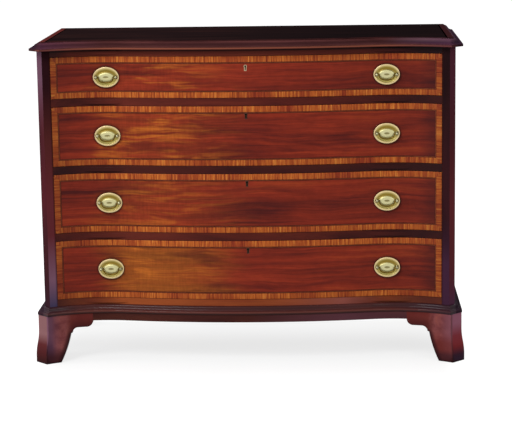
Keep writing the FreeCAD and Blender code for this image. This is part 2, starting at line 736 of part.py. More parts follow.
def pull_plate(name, z):
    """Plate with a raised rim, a sunk floor and a central boss, solid to behind the face of the wood."""
    x = S["pull_x"]
    wide, tall = S["plate_a"], S["plate_b"]
    floor_y = plate_y - S["plate_floor"]
    rim_y = plate_y - S["plate_rim"]
    slope = S["rim_slope"]
    body = new_body(name)
    add_pad(body, "XZ", oval(x, z, wide, tall), floor_y, S["plate_seat"] + S["plate_floor"] + slope, name)
    doc.recompute()
    loft(body, "Additive", x, z, (floor_y, wide, tall), (rim_y, wide - slope, tall - slope), f"{name}_rim")
    inner, sunk = slope * 2, slope * 4
    loft(body, "Subtractive", x, z, (rim_y, wide - inner, tall - inner), (floor_y, wide - sunk, tall - sunk),
         f"{name}_recess")
    boss = (floor_y, S["boss_a"], S["boss_b"])
    face = (plate_y - S["boss_rise"], S["boss_a"] - S["boss_slope"], S["boss_b"] - S["boss_slope"])
    loft(body, "Additive", x, z, boss, face, f"{name}_boss")
    return body


def pull_post(name, x, z):
    """Turned post: a ball for the bail, a neck, a collar on the plate and a shank through the wood."""
    body = new_body(name)
    sketch = sketch_on(body, "XY", z, f"{name}_sketch", origin=(x, axis_y))
    ball, neck, collar, shank = S["ball_radius"], S["neck_radius"], S["collar_radius"], S["shank_radius"]
    seat = S["bail_axis"] - S["plate_floor"]
    collar_low = seat - S["collar_thick"]
    reach = S["shank_reach"]
    draw(sketch, [(zero, -ball, ball), (neck, root(square(ball) - square(neck))), (neck, collar_low),
                  (collar, collar_low), (collar, seat), (shank, seat), (shank, reach), (zero, reach)])
    turning = body.newObject("PartDesign::Revolution", f"{name}_turning")
    turning.Profile = sketch
    turning.ReferenceAxis = (sketch, ["V_Axis"])
    turning.Angle = 360.0
    return body


def rod(name, along, start, radius, length):
    """Cylinder along one axis from its start point."""
    turns = {"x": Rotation(Vector(0, 1, 0), 90), "y": Rotation(Vector(1, 0, 0), -90)}
    solid = doc.addObject("Part::Cylinder", name)
    solid.Placement = Placement(Vector(0, 0, 0), turns[along])
    bind(solid, "Radius", radius)
    bind(solid, "Height", length)
    for axis, at in zip("xyz", start):
        bind(solid, f"Placement.Base.{axis}", at)
    return solid


def bail(name, z):
    """Bent wire: two straight pins, two close bends, two round shoulders and one wide arc between them."""
    x = S["pull_x"]
    end, drop, wide = S["bail_end"], S["bail_drop"], S["bail_radius"]
    bend, shoulder = S["bail_bend"], S["bail_shoulder"]
    rise = wide - drop + bend
    shoulder_x = root(square(wide - shoulder) - square(rise))
    share = wide / (wide - shoulder)
    touch_x = shoulder_x * share
    touch_z = z + (wide - drop) - rise * share
    arm_x = shoulder_x + shoulder
    arm_z = z - bend
    bend_x = arm_x + bend
    body = new_body(name)
    path = sketch_on(body, "XZ", axis_y, f"{name}_path")
    draw(path, [(x + end, z), (x + bend_x, z, bend), (x + arm_x, arm_z, -shoulder), (x + touch_x, touch_z, -wide),
                (x - touch_x, touch_z, -shoulder), (x - arm_x, arm_z, bend), (x - bend_x, z), (x - end, z)],
         closed=False)
    profile = sketch_on(body, "YZ", x + end, f"{name}_profile")
    circle(profile, axis_y, z, S["wire_radius"])
    pipe = body.newObject("PartDesign::AdditivePipe", f"{name}_pipe")
    pipe.Profile = profile
    pipe.Spine = path
    return body


# Drawers

end_x = opening - S["drawer_play"]
landing_x = end_x - S["front_landing"]
landing_y = end_y(-S["front_thick"], landing_x)
drawer_back_y = front + S["drawer_reach"]
back_front_y = drawer_back_y - S["drawer_back"]
side_x = end_x - S["drawer_side"]


def tails(base, tip, start, end, count):
    """Row of dovetails between two heights, walked from start to end."""
    step = (end - start) / count
    corners = []
    for index in range(count):
        shares = ((base, TAIL_ROOT), (tip, TAIL_TIP), (tip, 1 - TAIL_TIP), (base, 1 - TAIL_ROOT))
        corners += [(y, start + step * (index + share)) for y, share in shares]
    return corners


def keyhole_outline(z, wall):
    """Keyhole seen from the front, or the outside of its lining when wall is given."""
    around = S["keyhole_round"] + wall
    slot = S["keyhole_slot"] + wall
    foot = z - S["keyhole_reach"] - wall
    neck = z - root(square(around) - square(slot))
    return [(-slot, foot), (slot, foot), (slot, neck, around), (zero, z + around, around), (-slot, neck)]


def make_drawer(number, low, height, keyhole_drop, tail_count):
    name = f"drawer_{number}"
    z_low = low + S["gap_low"]
    z_high = low + height - S["gap_high"]
    tall = z_high - z_low
    z_mid = low + height / 2

    front_end = end_y(0, end_x)
    back_landing = (landing_x, landing_y)
    plan = front_run(zero, end_x, front_end) + [(end_x, front_end), (end_x, landing_y)]
    plan += back_run(-S["front_thick"], *back_landing) + [(-landing_x, landing_y), (-end_x, landing_y)]
    blank = prism(f"{name}_blank", "XY", plan, z_low, tall)

    panel_low = z_low + S["panel_lift"]
    panel_high = panel_low + S["panel_thick"]
    panel_x = side_x + S["panel_groove"]
    panel_out = S["panel_groove"] - S["front_thick"]
    panel_end = end_y(panel_out, panel_x)
    panel_plan = front_run(panel_out, panel_x, panel_end)
    panel_plan += [(panel_x, panel_end), (panel_x, drawer_back_y), (-panel_x, drawer_back_y)]
    panel = node(f"{name}_bottom", prism(f"{name}_bottom", "XY", panel_plan, panel_low, S["panel_thick"]))

    side_high = z_high - S["side_drop"]
    back_high = z_high - S["back_drop"]
    side_shape = [(landing_y, z_low), (drawer_back_y, z_low), (drawer_back_y, panel_high),
                  (back_front_y, panel_high)]
    side_shape += tails(back_front_y, drawer_back_y, panel_high, back_high, tail_count)
    side_shape += [(back_front_y, back_high), (drawer_back_y, back_high), (drawer_back_y, side_high),
                   (landing_y, side_high)]
    side_shape += tails(landing_y, landing_y - S["tail_reach"], side_high, z_low, tail_count)
    right_board = prism(f"{name}_right_board", "YZ", side_shape, side_x, S["drawer_side"])
    boards_pair = group(f"{name}_boards", right_board, mirror(f"{name}_left_board", right_board))
    node(f"{name}_sides", cut(f"{name}_sides", boards_pair, panel))
    back_blank = box(f"{name}_back_blank", (-end_x, back_front_y, panel_high),
                     (end_x, drawer_back_y, back_high))
    node(f"{name}_back", cut(f"{name}_back", back_blank, boards_pair))

    skin = front_run(zero, end_x, front_end) + [(end_x, front_end)]
    skin_end = end_y(-S["band_thick"], end_x)
    skin += back_run(-S["band_thick"], end_x, skin_end) + [(-end_x, skin_end)]
    window = box(f"{name}_window", (S["band_width"] - end_x, -BEYOND, z_low + S["band_width"]),
                 (end_x - S["band_width"], zero, z_high - S["band_width"]))
    band_blank = prism(f"{name}_band_blank", "XY", skin, z_low, tall)
    band = node(f"{name}_crossbanding", cut(f"{name}_crossbanding", band_blank, window))

    keyhole_z = low + height - keyhole_drop
    lock_y = swell_y + S["lock_front"]
    keyhole_length = S["lock_front"] + S["lock_depth"] / 2 + PAST
    keyhole = prism(f"{name}_keyhole", "XZ", keyhole_outline(keyhole_z, zero), swell_y - PAST, keyhole_length)
    lining_blank = prism(f"{name}_lining_blank", "XZ", keyhole_outline(keyhole_z, S["lining_wall"]),
                         swell_y - S["lining_proud"], S["lining_depth"])
    lining = cut(f"{name}_lining", lining_blank, keyhole)
    lock_low = z_high - S["lock_height"]
    half_lock = S["lock_width"] / 2
    half_bolt = S["bolt_width"] / 2
    lock_blank = box(f"{name}_lock_blank", (-half_lock, lock_y, lock_low),
                     (half_lock, lock_y + S["lock_depth"], z_high))
    bolt_y = lock_y + S["bolt_thick"] / 2
    bolt_low = z_high - S["bolt_height"]
    bolt_back = bolt_y + S["bolt_thick"]
    slot = box(f"{name}_bolt_slot", (-half_bolt, bolt_y, bolt_low), (half_bolt, bolt_back, z_high + PAST))
    bolt_high = z_high - S["bolt_sink"]
    bolt = box(f"{name}_bolt", (-half_bolt, bolt_y, bolt_low), (half_bolt, bolt_back, bolt_high))
    lock_case = cut(f"{name}_lock_case", lock_blank, slot, keyhole)
    node(f"{name}_lock", group(f"{name}_lock", lock_case, bolt, lining))

    pin_reach = S["bail_end"] + S["pin_play"]
    pin_hole = rod(f"{name}_pin_hole", "x", (S["pull_x"] - pin_reach, axis_y, z_mid),
                   S["wire_radius"] + S["pin_play"], pin_reach * 2)
    post_pair = []
    nut_pair = []
    for side, shift in (("inner", -S["post_x"]), ("outer", S["post_x"])):
        x = S["pull_x"] + shift
        post_pair.append(pull_post(f"{name}_{side}_post", x, z_mid))
        nut_start = valley_y + S["front_thick"] - S["nut_thick"] / 2
        nut_at = (x, nut_start, z_mid)
        nut_pair.append(rod(f"{name}_{side}_nut", "y", nut_at, S["nut_radius"], S["nut_thick"]))
    right_shanks = group(f"{name}_right_shanks", *post_pair)
    shanks = group(f"{name}_shanks", right_shanks, mirror(f"{name}_left_shanks", right_shanks))
    nuts = cut(f"{name}_right_nuts", group(f"{name}_nut_blanks", *nut_pair), blank, shanks)
    right_posts = group(f"{name}_right_posts", cut(f"{name}_right_heads", right_shanks, pin_hole), nuts)
    left_posts = mirror(f"{name}_left_posts", right_posts)
    node(f"{name}_pull_posts", group(f"{name}_pull_posts", right_posts, left_posts))
    plate = cut(f"{name}_right_plate", pull_plate(f"{name}_plate_blank", z_mid), blank, shanks)
    node(f"{name}_pull_plates", group(f"{name}_pull_plates", plate, mirror(f"{name}_left_plate", plate)))
    right_bail = node(f"{name}_right_bail", bail(f"{name}_right_bail", z_mid))
    node(f"{name}_left_bail", mirror(f"{name}_left_bail", right_bail))

    let_in = (boards_pair, panel, band, lining_blank, keyhole, lock_blank, shanks)
    node(f"{name}_front", cut(f"{name}_front", blank, *let_in))


keyhole_drops = [S["keyhole_drop"]] * 3 + [S["top_keyhole_drop"]]
tail_counts = [DEEP_TAILS] * 3 + [SHALLOW_TAILS]
drawers = zip(opening_lows, opening_heights, keyhole_drops, tail_counts)
for step, (low, height, keyhole_drop, tail_count) in enumerate(drawers):
    make_drawer(4 - step, low, height, keyhole_drop, tail_count)

doc.recompute()
faulty = [item.Name for item in doc.Objects if "Invalid" in item.State or "Error" in item.State]
faulty += [name for name, item in nodes.items() if not item.Shape.Solids or not item.Shape.isValid()]
if faulty:
    raise RuntimeError(f"these did not build: {faulty}")
os.makedirs("parts", exist_ok=True)
for name, item in nodes.items():
    item.Shape.exportStep(f"parts/{name}.step")
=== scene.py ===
import math

import bpy
from mathutils import Matrix, Vector


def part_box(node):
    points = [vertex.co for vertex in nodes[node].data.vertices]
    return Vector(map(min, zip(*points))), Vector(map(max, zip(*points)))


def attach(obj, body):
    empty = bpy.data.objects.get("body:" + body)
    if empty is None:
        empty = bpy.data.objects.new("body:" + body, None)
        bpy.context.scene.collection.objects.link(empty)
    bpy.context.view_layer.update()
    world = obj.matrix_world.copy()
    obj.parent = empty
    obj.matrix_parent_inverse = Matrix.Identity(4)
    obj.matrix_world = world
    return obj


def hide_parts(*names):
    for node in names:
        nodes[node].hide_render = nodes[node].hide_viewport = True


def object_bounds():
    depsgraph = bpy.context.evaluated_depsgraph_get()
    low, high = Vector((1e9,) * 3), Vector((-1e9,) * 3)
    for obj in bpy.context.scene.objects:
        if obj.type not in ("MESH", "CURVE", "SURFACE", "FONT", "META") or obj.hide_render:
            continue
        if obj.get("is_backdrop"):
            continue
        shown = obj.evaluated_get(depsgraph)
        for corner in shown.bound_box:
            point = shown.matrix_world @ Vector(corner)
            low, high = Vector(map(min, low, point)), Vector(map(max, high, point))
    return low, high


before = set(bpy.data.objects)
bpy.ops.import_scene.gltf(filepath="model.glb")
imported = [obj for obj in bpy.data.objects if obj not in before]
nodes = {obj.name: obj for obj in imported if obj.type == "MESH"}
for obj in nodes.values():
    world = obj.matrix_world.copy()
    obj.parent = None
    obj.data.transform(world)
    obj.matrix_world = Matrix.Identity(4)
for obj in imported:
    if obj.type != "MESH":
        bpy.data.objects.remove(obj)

# Looks of the serpentine chest of drawers. Metres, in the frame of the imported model.

cad_low, cad_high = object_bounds()
MM = 0.001
DRAWERS = (1, 2, 3, 4)

# Camera of the photograph, in pixels, metres and radians

IMAGE_WIDTH = 512
SENSOR_WIDTH = 36.0
FOCAL_PIXELS = 1899.7
CAMERA_PLACE = Vector((0.2386, -5.5682, 1.3989))
CAMERA_YAW = -0.0401
CAMERA_PITCH = -0.1784
CAMERA_ROLL = -0.0147

# Serpentine front: a middle swell between two hollow ends

VALLEY_X = 412 * MM
VALLEY_DEPTH = 37.5 * MM
HOLLOW_RADIUS = 330 * MM
CORNER_X = 575.5 * MM
CANT = 16.5 * MM
CORNER_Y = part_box("right_corner_post")[0][1]
HOLLOW_CENTRE_Y = CORNER_Y - math.sqrt(HOLLOW_RADIUS ** 2 - (CORNER_X - VALLEY_X) ** 2)
VALLEY_Y = HOLLOW_CENTRE_Y + HOLLOW_RADIUS
SWELL_RADIUS = (VALLEY_X ** 2 + VALLEY_DEPTH ** 2) / (2 * VALLEY_DEPTH) - HOLLOW_RADIUS
SWELL_CENTRE_Y = VALLEY_Y - VALLEY_DEPTH + SWELL_RADIUS
JOIN_ANGLE = math.asin(VALLEY_X / (SWELL_RADIUS + HOLLOW_RADIUS))
SWELL_LENGTH = SWELL_RADIUS * JOIN_ANGLE

# Front feet: inner edge of a leg at the floor, and how far it leans for each metre up

TOE_X = 545.5 * MM
LEG_LEAN = 27.5 / 83

# Inlay of the drawer fronts

BAND_WIDTH = 16.5 * MM
BAND_DEPTH = 1.2 * MM
BAND_PROUD = 0.15 * MM
BAND_ROUND = 1.4 * MM
STRING_WIDTHS = (("dark_string", 1.5 * MM), ("pale_string", 1.2 * MM), ("dark_string", 1.5 * MM))

# Brass pulls

PULL_X = 399 * MM
PLATE_Y = VALLEY_Y - 5 * MM
BAIL_AXIS_Y = PLATE_Y - 8.5 * MM
POST_X = 28.5 * MM
PULL_SEGMENTS = 72


def srgb(red, green, blue):
    """Linear colour, with alpha, of a colour given in 0 to 255."""
    def linear(value):
        share = value / 255
        return share / 12.92 if share <= 0.04045 else ((share + 0.055) / 1.055) ** 2.4
    return (linear(red), linear(green), linear(blue), 1.0)


# Materials

class Shader:
    """A material's node tree, with short calls for the nodes that these finishes use."""

    def __init__(self, name):
        self.material = bpy.data.materials.new(name)
        self.material.use_nodes = True
        self.tree = self.material.node_tree
        self.tree.nodes.clear()

    def add(self, kind, inputs, output=0, **settings):
        """One output of a new node, whose inputs are numbers, colours or sockets of other nodes."""
        item = self.tree.nodes.new(f"ShaderNode{kind}")
        for key, value in settings.items():
            setattr(item, key, value)
        for key, value in inputs.items():
            if isinstance(value, bpy.types.NodeSocket):
                self.tree.links.new(value, item.inputs[key])
            else:
                item.inputs[key].default_value = value
        return item.outputs[output]

    def coordinate(self, axis, source="Object"):
        """One coordinate of the piece itself, or of its unwrapped surface."""
        return self.add("SeparateXYZ", {"Vector": self.add("TexCoord", {}, output=source)}, output=axis)

    def place(self, scale, shift=(0.0, 0.0, 0.0), source="Object"):
        """Coordinates of the piece itself, or others given as a socket, stretched to the grain."""
        given = isinstance(source, bpy.types.NodeSocket)
        coordinates = source if given else self.add("TexCoord", {}, output=source)
        return self.add("Mapping", {"Vector": coordinates, "Location": shift, "Scale": scale})

    def distance(self, axis):
        """Distance along one axis from the middle of the chest, or up from the floor. Across is the share of
        the way from the left end of the chest to the right one, and lean follows a leg's inner edge."""
        if axis == "lean":
            return self.math("ADD", self.distance("X"), self.times(self.distance("Z"), LEG_LEAN))
        if axis == "across":
            ends = {"From Min": cad_low[0], "From Max": cad_high[0]}
            return self.add("MapRange", {"Value": self.coordinate("X"), **ends})
        return self.math("ABSOLUTE", self.coordinate(axis))

    def noise(self, vector, scale=1.0, detail=4.0, roughness=0.55, distortion=0.0):
        inputs = {"Vector": vector, "Scale": scale, "Detail": detail, "Roughness": roughness,
                  "Distortion": distortion}
        return self.add("TexNoise", inputs)

    def math(self, operation, first, second=0.0):
        return self.add("Math", {0: first, 1: second}, operation=operation)

    def times(self, first, second):
        return self.math("MULTIPLY", first, second)

    def shifted(self, value, low, high):
        """A value of 0 to 1 spread between two numbers."""
        return self.add("MapRange", {"Value": value, "To Min": low, "To Max": high})

    def smooth(self, value, start, end):
        """0 on the start's side, 1 on the end's side and a smooth step between, whichever is higher."""
        inputs = {"Value": value, "From Min": start, "From Max": end}
        return self.add("MapRange", inputs, interpolation_type="SMOOTHSTEP")

    def ramp(self, value, stops):
        item = self.tree.nodes.new("ShaderNodeValToRGB")
        self.tree.links.new(value, item.inputs["Fac"])
        elements = item.color_ramp.elements
        while len(elements) < len(stops):
            elements.new(0.5)
        for element, (position, colour) in zip(elements, stops):
            element.position = position
            element.color = colour
        return item.outputs["Color"]

    def mix(self, share, first, second, blend="MIX"):
        inputs = {0: share, 6: first, 7: second}
        return self.add("Mix", inputs, output=2, data_type="RGBA", blend_type=blend)

    def tint(self, colour, mask, strength, tone):
        """Mixes a tone into a colour where a mask is 1, at a strength."""
        return self.mix(self.times(mask, strength), colour, tone)

    def toned(self, colour, axis, stops, within=None):
        """Mixes in other tones at distances along an axis. A stop is (distance, tone, share); within is
        another axis and the range on it over which the tones come in."""
        along = self.distance(axis)
        tone = self.ramp(along, [(place, other) for place, other, share in stops])
        share = self.ramp(along, [(place, (share, share, share, 1.0)) for place, other, share in stops])
        if within:
            limit = self.smooth(self.distance(within[0]), *within[1:])
            share = self.times(share, limit)
        return self.mix(share, colour, tone)

    def bump(self, height, distance, strength, normal=None):
        inputs = {"Height": height, "Distance": distance, "Strength": strength}
        if normal is not None:
            inputs["Normal"] = normal
        return self.add("Bump", inputs)

    def finish(self, inputs):
        shader = self.add("BsdfPrincipled", inputs)
        output = self.tree.nodes.new("ShaderNodeOutputMaterial")
        self.tree.links.new(shader, output.inputs["Surface"])
        return self.material


# Reach of the shades at edges and in corners, and rounding of the arrises

RIM_WIDTH = 18 * MM
CONTACT_REACH = 9 * MM
TARNISH_REACH = 6 * MM
WOOD_ROUND = 1.2 * MM
FIELD_ROUND = 0.6 * MM

GRAIN_SCALES = {"X": (1.0, 9.0, 9.0), "Y": (9.0, 1.0, 9.0), "Z": (9.0, 9.0, 1.0)}
MOTTLE_SCALE = (26.0, 26.0, 17.0)


def grained_wood(name, colours, grain, shift, gloss=0.3, shine=0.06, tones=(), dull=None, mottle=(),
                 rim=None):
    """Polished or plain wood: slow streaks, fine fibres and short dark pores along one axis. Tones are mixed
    in as Shader.toned does; dull is the range of distances from the middle of the chest where the gloss
    fades; mottle is the dark and the light colour of soft patches; rim is the colour of a painted shade along
    square edges, the height where it begins and the lower one where it is full."""
    shader = Shader(name)
    along = GRAIN_SCALES[grain]
    offset = (shift, shift * 1.7, shift * 0.6)
    streaks = shader.noise(shader.place(along, offset), scale=2.6, detail=6.0, distortion=0.5)
    fibre_scale = tuple(value * (1.0 if value == 1.0 else 6.0) for value in along)
    fibres = shader.noise(shader.place(fibre_scale, offset), scale=9.0, detail=3.0)
    pores = shader.noise(shader.place(fibre_scale, offset), scale=34.0, detail=2.0)
    dark, middle, light = colours
    colour = shader.ramp(streaks, [(0.3, dark), (0.5, middle), (0.72, light)])
    fibre_tint = shader.ramp(fibres, [(0.3, (0.78, 0.76, 0.75, 1)), (0.65, (1.08, 1.06, 1.04, 1))])
    colour = shader.mix(0.8, colour, fibre_tint, "MULTIPLY")
    colour = shader.tint(colour, shader.smooth(pores, 0.6, 0.72), 0.35, dark)
    if mottle:
        patches = shader.noise(shader.place(MOTTLE_SCALE, offset), detail=3.0, distortion=0.6)
        colour = shader.tint(colour, shader.smooth(patches, 0.52, 0.36), 0.6, mottle[0])
        colour = shader.tint(colour, shader.smooth(patches, 0.52, 0.66), 0.5, mottle[1])
    for tone in tones:
        colour = shader.toned(colour, *tone)
    # Painted shade along square edges, where little of the piece lies within reach behind the surface
    if rim:
        thickness = shader.add("AmbientOcclusion", {"Distance": RIM_WIDTH}, output="AO", samples=8,
                               inside=True)
        low_part = shader.smooth(shader.distance("Z"), *rim[1:])
        edges = shader.times(shader.smooth(thickness, 0.76, 0.52), low_part)
        colour = shader.tint(colour, edges, 0.9, rim[0])
    roughness = shader.shifted(fibres, gloss - 0.06, gloss + 0.08)
    if dull:
        roughness = shader.math("MAXIMUM", roughness, shader.smooth(shader.distance("X"), *dull))
    rounded = shader.add("Bevel", {"Radius": WOOD_ROUND}, samples=6)
    normal = shader.bump(pores, 0.12 * MM, 0.25, rounded)
    return shader.finish({"Base Color": colour, "Roughness": roughness, "Specular IOR Level": shine,
                          "Normal": normal})


# Colours of a drawer's field, and where along the front lie its flames, partly a painted reflection, and its
# painted shade on the right half and at the ends

FIELD_TONES = [(0.36, srgb(84, 31, 28)), (0.46, srgb(122, 43, 31)), (0.54, srgb(144, 51, 34)),
               (0.66, srgb(168, 69, 38))]
WARM_GROUND_AND_SHEEN, FLAME_GOLD_AND_SHEEN = srgb(172, 98, 38), srgb(206, 116, 44)
FIELD_SHADE, FIELD_PORE = srgb(64, 23, 26), srgb(52, 16, 16)
FIELD_PAINTED_SHADE, CONTACT_SHADE = srgb(36, 20, 24), srgb(44, 15, 12)
FLAME_START, FLAME_END = (-0.48, -0.36), (-0.26, 0.02)
SHADED_HALF, SHADED_RIGHT_END, SHADED_LEFT_END = (0.2, 0.52), (0.48, 0.535), (-0.44, -0.54)


def flame_veneer(name, shift, flame, glow):
    """Dark red veneer of a drawer's field, with golden flames on a warmer ground left of the middle, partly
    the figure of the veneer and partly a painted reflection of a light on the left.
    """
    shader = Shader(name)
    offset = (shift * 0.37, 0.0, shift * 0.91)
    wave = shader.noise(shader.place((5.0, 1.0, 12.0), offset), detail=2.0)
    lift = shader.add("CombineXYZ", {"Z": shader.shifted(wave, -14 * MM, 14 * MM)})
    flat = shader.add("TexCoord", {}, output="Object")
    waved = shader.add("VectorMath", {0: flat, 1: lift}, operation="ADD")
    broad = shader.noise(shader.place((1.6, 1.0, 13.0), offset, waved), detail=3.0, distortion=0.4)
    streaks = shader.noise(shader.place((2.4, 1.0, 80.0), offset, waved), detail=6.0, roughness=0.62,
                           distortion=0.3)
    shades = shader.noise(shader.place((4.4, 1.0, 25.0), offset, waved), detail=4.0, distortion=0.5)
    patches = shader.noise(shader.place((6.0, 1.0, 30.0), offset, waved), detail=3.0, distortion=0.5)
    feathers = shader.noise(shader.place((8.0, 1.0, 150.0), offset, waved), detail=4.0, distortion=0.3)
    lines = shader.noise(shader.place((7.0, 1.0, 430.0), offset, waved), detail=3.0)
    mottle = shader.noise(shader.place((46.0, 1.0, 75.0), offset, waved), detail=2.0)
    ripple = shader.noise(shader.place((190.0, 1.0, 26.0), offset), detail=2.0)
    pores = shader.noise(shader.place((60.0, 1.0, 1500.0), offset), detail=2.0)

    across = shader.coordinate("X")
    edge = shader.math("ADD", across, shader.shifted(broad, -0.14, 0.14))
    flames_over = shader.math("SUBTRACT", 1.0, shader.smooth(edge, *FLAME_END))
    flame_and_sheen_area = shader.times(shader.smooth(edge, *FLAME_START), flames_over)
    tone = shader.math("ADD", shader.times(broad, 0.5), shader.times(streaks, 0.5))
    colour = shader.ramp(tone, FIELD_TONES)
    # Golden flames and warm ground: the veneer's figure with a painted reflection of a light on the left
    warm_and_sheen = shader.times(shader.times(flame_and_sheen_area, glow), shader.shifted(feathers, 0.55, 1.35))
    colour = shader.mix(warm_and_sheen, colour, WARM_GROUND_AND_SHEEN)
    colour = shader.tint(colour, shader.smooth(shades, 0.5, 0.7), 0.5, FIELD_SHADE)
    tongues = shader.times(shader.smooth(patches, 0.46, 0.62), shader.smooth(feathers, 0.36, 0.62))
    colour = shader.tint(colour, shader.times(tongues, flame_and_sheen_area), flame, FLAME_GOLD_AND_SHEEN)
    ripple_tint = shader.ramp(ripple, [(0.35, (0.86, 0.85, 0.84, 1)), (0.65, (1.08, 1.07, 1.05, 1))])
    rippled = shader.mix(1.0, colour, ripple_tint, "MULTIPLY")
    colour = shader.tint(colour, flame_and_sheen_area, 0.7, rippled)
    line_tint = shader.ramp(lines, [(0.3, (0.74, 0.7, 0.7, 1)), (0.68, (1.14, 1.1, 1.06, 1))])
    colour = shader.mix(0.65, colour, line_tint, "MULTIPLY")
    mottle_tint = shader.ramp(mottle, [(0.3, (0.84, 0.83, 0.84, 1)), (0.7, (1.12, 1.1, 1.08, 1))])
    colour = shader.mix(0.5, colour, mottle_tint, "MULTIPLY")
    colour = shader.tint(colour, shader.smooth(pores, 0.6, 0.75), 0.3, FIELD_PORE)
    # Painted shade on the right half of the field and at its ends
    shaded = shader.times(shader.smooth(across, *SHADED_HALF), 0.3)
    for reach, strength in ((SHADED_RIGHT_END, 0.34), (SHADED_LEFT_END, 0.08)):
        shaded = shader.math("ADD", shaded, shader.times(shader.smooth(across, *reach), strength))
    colour = shader.mix(shaded, colour, FIELD_PAINTED_SHADE)
    # Painted shade on the field round the pulls
    open_sky = shader.add("AmbientOcclusion", {"Distance": CONTACT_REACH}, output="AO", samples=6)
    colour = shader.tint(colour, shader.smooth(open_sky, 0.97, 0.6), 0.7, CONTACT_SHADE)

    rounded = shader.add("Bevel", {"Radius": FIELD_ROUND}, samples=4)
    normal = shader.bump(lines, 0.1 * MM, 0.2, rounded)
    return shader.finish({"Base Color": colour, "Roughness": shader.shifted(lines, 0.24, 0.36),
                          "Specular IOR Level": 0.06, "Normal": normal})


# Colours of the crossbanding: lighter and deeper stretches, and its ends

BAND_BRIGHT = [(0.32, srgb(120, 46, 28)), (0.46, srgb(170, 82, 39)), (0.54, srgb(194, 104, 46)),
               (0.68, srgb(226, 148, 68))]
BAND_DEEP = [(0.32, srgb(90, 30, 25)), (0.48, srgb(140, 55, 35)), (0.56, srgb(158, 68, 38)),
             (0.7, srgb(194, 106, 52))]
BAND_END = srgb(84, 34, 26)
BAND_FADE = (0.4, 0.56)


def banding_veneer(name, shift):
    """Crossbanding: orange veneer whose streaks run across the band. The first coordinate runs along it."""
    shader = Shader(name)
    streaks = shader.noise(shader.place((210.0, 9.0, 1.0), (shift, shift, 0.0), "UV"), detail=4.0,
                           roughness=0.75)
    slow = shader.noise(shader.place((9.0, 1.0, 1.0), (shift, 0.0, 0.0), "UV"), detail=3.0)
    fine = shader.noise(shader.place((640.0, 14.0, 1.0), (shift, 0.0, 0.0), "UV"), detail=2.0)
    bright = shader.ramp(streaks, BAND_BRIGHT)
    deep = shader.ramp(streaks, BAND_DEEP)
    colour = shader.mix(shader.smooth(slow, 0.34, 0.56), deep, bright)
    fine_tint = shader.ramp(fine, [(0.32, (0.66, 0.62, 0.6, 1)), (0.66, (1.18, 1.15, 1.1, 1))])
    colour = shader.mix(0.85, colour, fine_tint, "MULTIPLY")
    colour = shader.tint(colour, shader.smooth(shader.distance("X"), *BAND_FADE), 0.36, BAND_END)
    return shader.finish({"Base Color": colour, "Roughness": shader.shifted(fine, 0.24, 0.38),
                          "Specular IOR Level": 0.06, "Normal": shader.bump(streaks, 0.1 * MM, 0.2)})


def string_line(name, colour):
    """Thin inlaid line, slightly uneven in tone."""
    shader = Shader(name)
    tone = shader.noise(shader.place((90.0, 90.0, 1.0), source="UV"), detail=3.0)
    tint = shader.ramp(tone, [(0.3, (0.7, 0.68, 0.66, 1)), (0.7, (1.14, 1.12, 1.08, 1))])
    return shader.finish({"Base Color": shader.mix(0.9, colour, tint, "MULTIPLY"),
                          "Roughness": shader.shifted(tone, 0.3, 0.44), "Specular IOR Level": 0.03,
                          "Normal": shader.bump(tone, 0.05 * MM, 0.2)})


# Painted shade in a plate's upper recess and painted light in its lower one; painted shade inside a keyhole
UPPER_RECESS_SHADE, LOWER_RECESS_LIGHT = srgb(112, 90, 28), srgb(170, 158, 88)
KEYHOLE_SHADE = srgb(20, 13, 9)


def aged_brass(name, colours, plate=(), sunk=None, gloss=0.3):
    """Polished brass in a darker and a lighter colour, with tarnish left in the hollows. A plate is toned
    along its profile by stops of (share of the way in from the rim, colour), with painted shade in its upper
    recess and painted light in its lower one; sunk is the depth behind which a keyhole is painted dark as
    shade."""
    shader = Shader(name)
    shade, light, tarnish = colours
    patches = shader.noise(shader.place((60.0, 60.0, 60.0)), detail=4.0)
    specks = shader.noise(shader.place((420.0, 420.0, 420.0)), detail=3.0)
    hollow = shader.add("AmbientOcclusion", {"Distance": TARNISH_REACH}, output="AO", samples=6)
    colour = shader.ramp(patches, [(0.3, shade), (0.7, light)])
    if plate:
        inward, around = shader.coordinate("X", "UV"), shader.coordinate("Y", "UV")
        colour = shader.mix(0.85, colour, shader.ramp(inward, plate))
        upward = shader.math("SINE", shader.times(around, 2 * math.pi))
        recess = shader.math("SUBTRACT", shader.smooth(inward, 0.36, 0.44), shader.smooth(inward, 0.53, 0.58))
        for end, tone in ((0.9, UPPER_RECESS_SHADE), (-0.9, LOWER_RECESS_LIGHT)):
            share = shader.times(recess, shader.smooth(upward, 0.0, end))
            colour = shader.tint(colour, share, 0.75, tone)
    dull = shader.math("SUBTRACT", 1.0, shader.smooth(hollow, 0.35, 0.95))
    colour = shader.tint(colour, dull, 0.7, tarnish)
    if sunk is not None:
        colour = shader.mix(shader.smooth(shader.coordinate("Y"), sunk, sunk + 1 * MM), colour, KEYHOLE_SHADE)
    return shader.finish({"Base Color": colour, "Metallic": 1.0,
                          "Roughness": shader.shifted(specks, gloss - 0.08, gloss + 0.1),
                          "Normal": shader.bump(specks, 0.08 * MM, 0.25)})


def paint(material, *names):
    """Gives whole CAD nodes a material."""
    for name in names:
        slots = nodes[name].data.materials
        slots.clear()
        slots.append(material)


# Strength of the golden flames and of the warm ground on each drawer, partly a painted reflection

FLAMES_AND_SHEEN = {1: (0.55, 0.03), 2: (0.66, 0.1), 3: (0.4, 0.1), 4: (0.6, 0.62)}

# Woods: dark, middle and light colour of the streaks

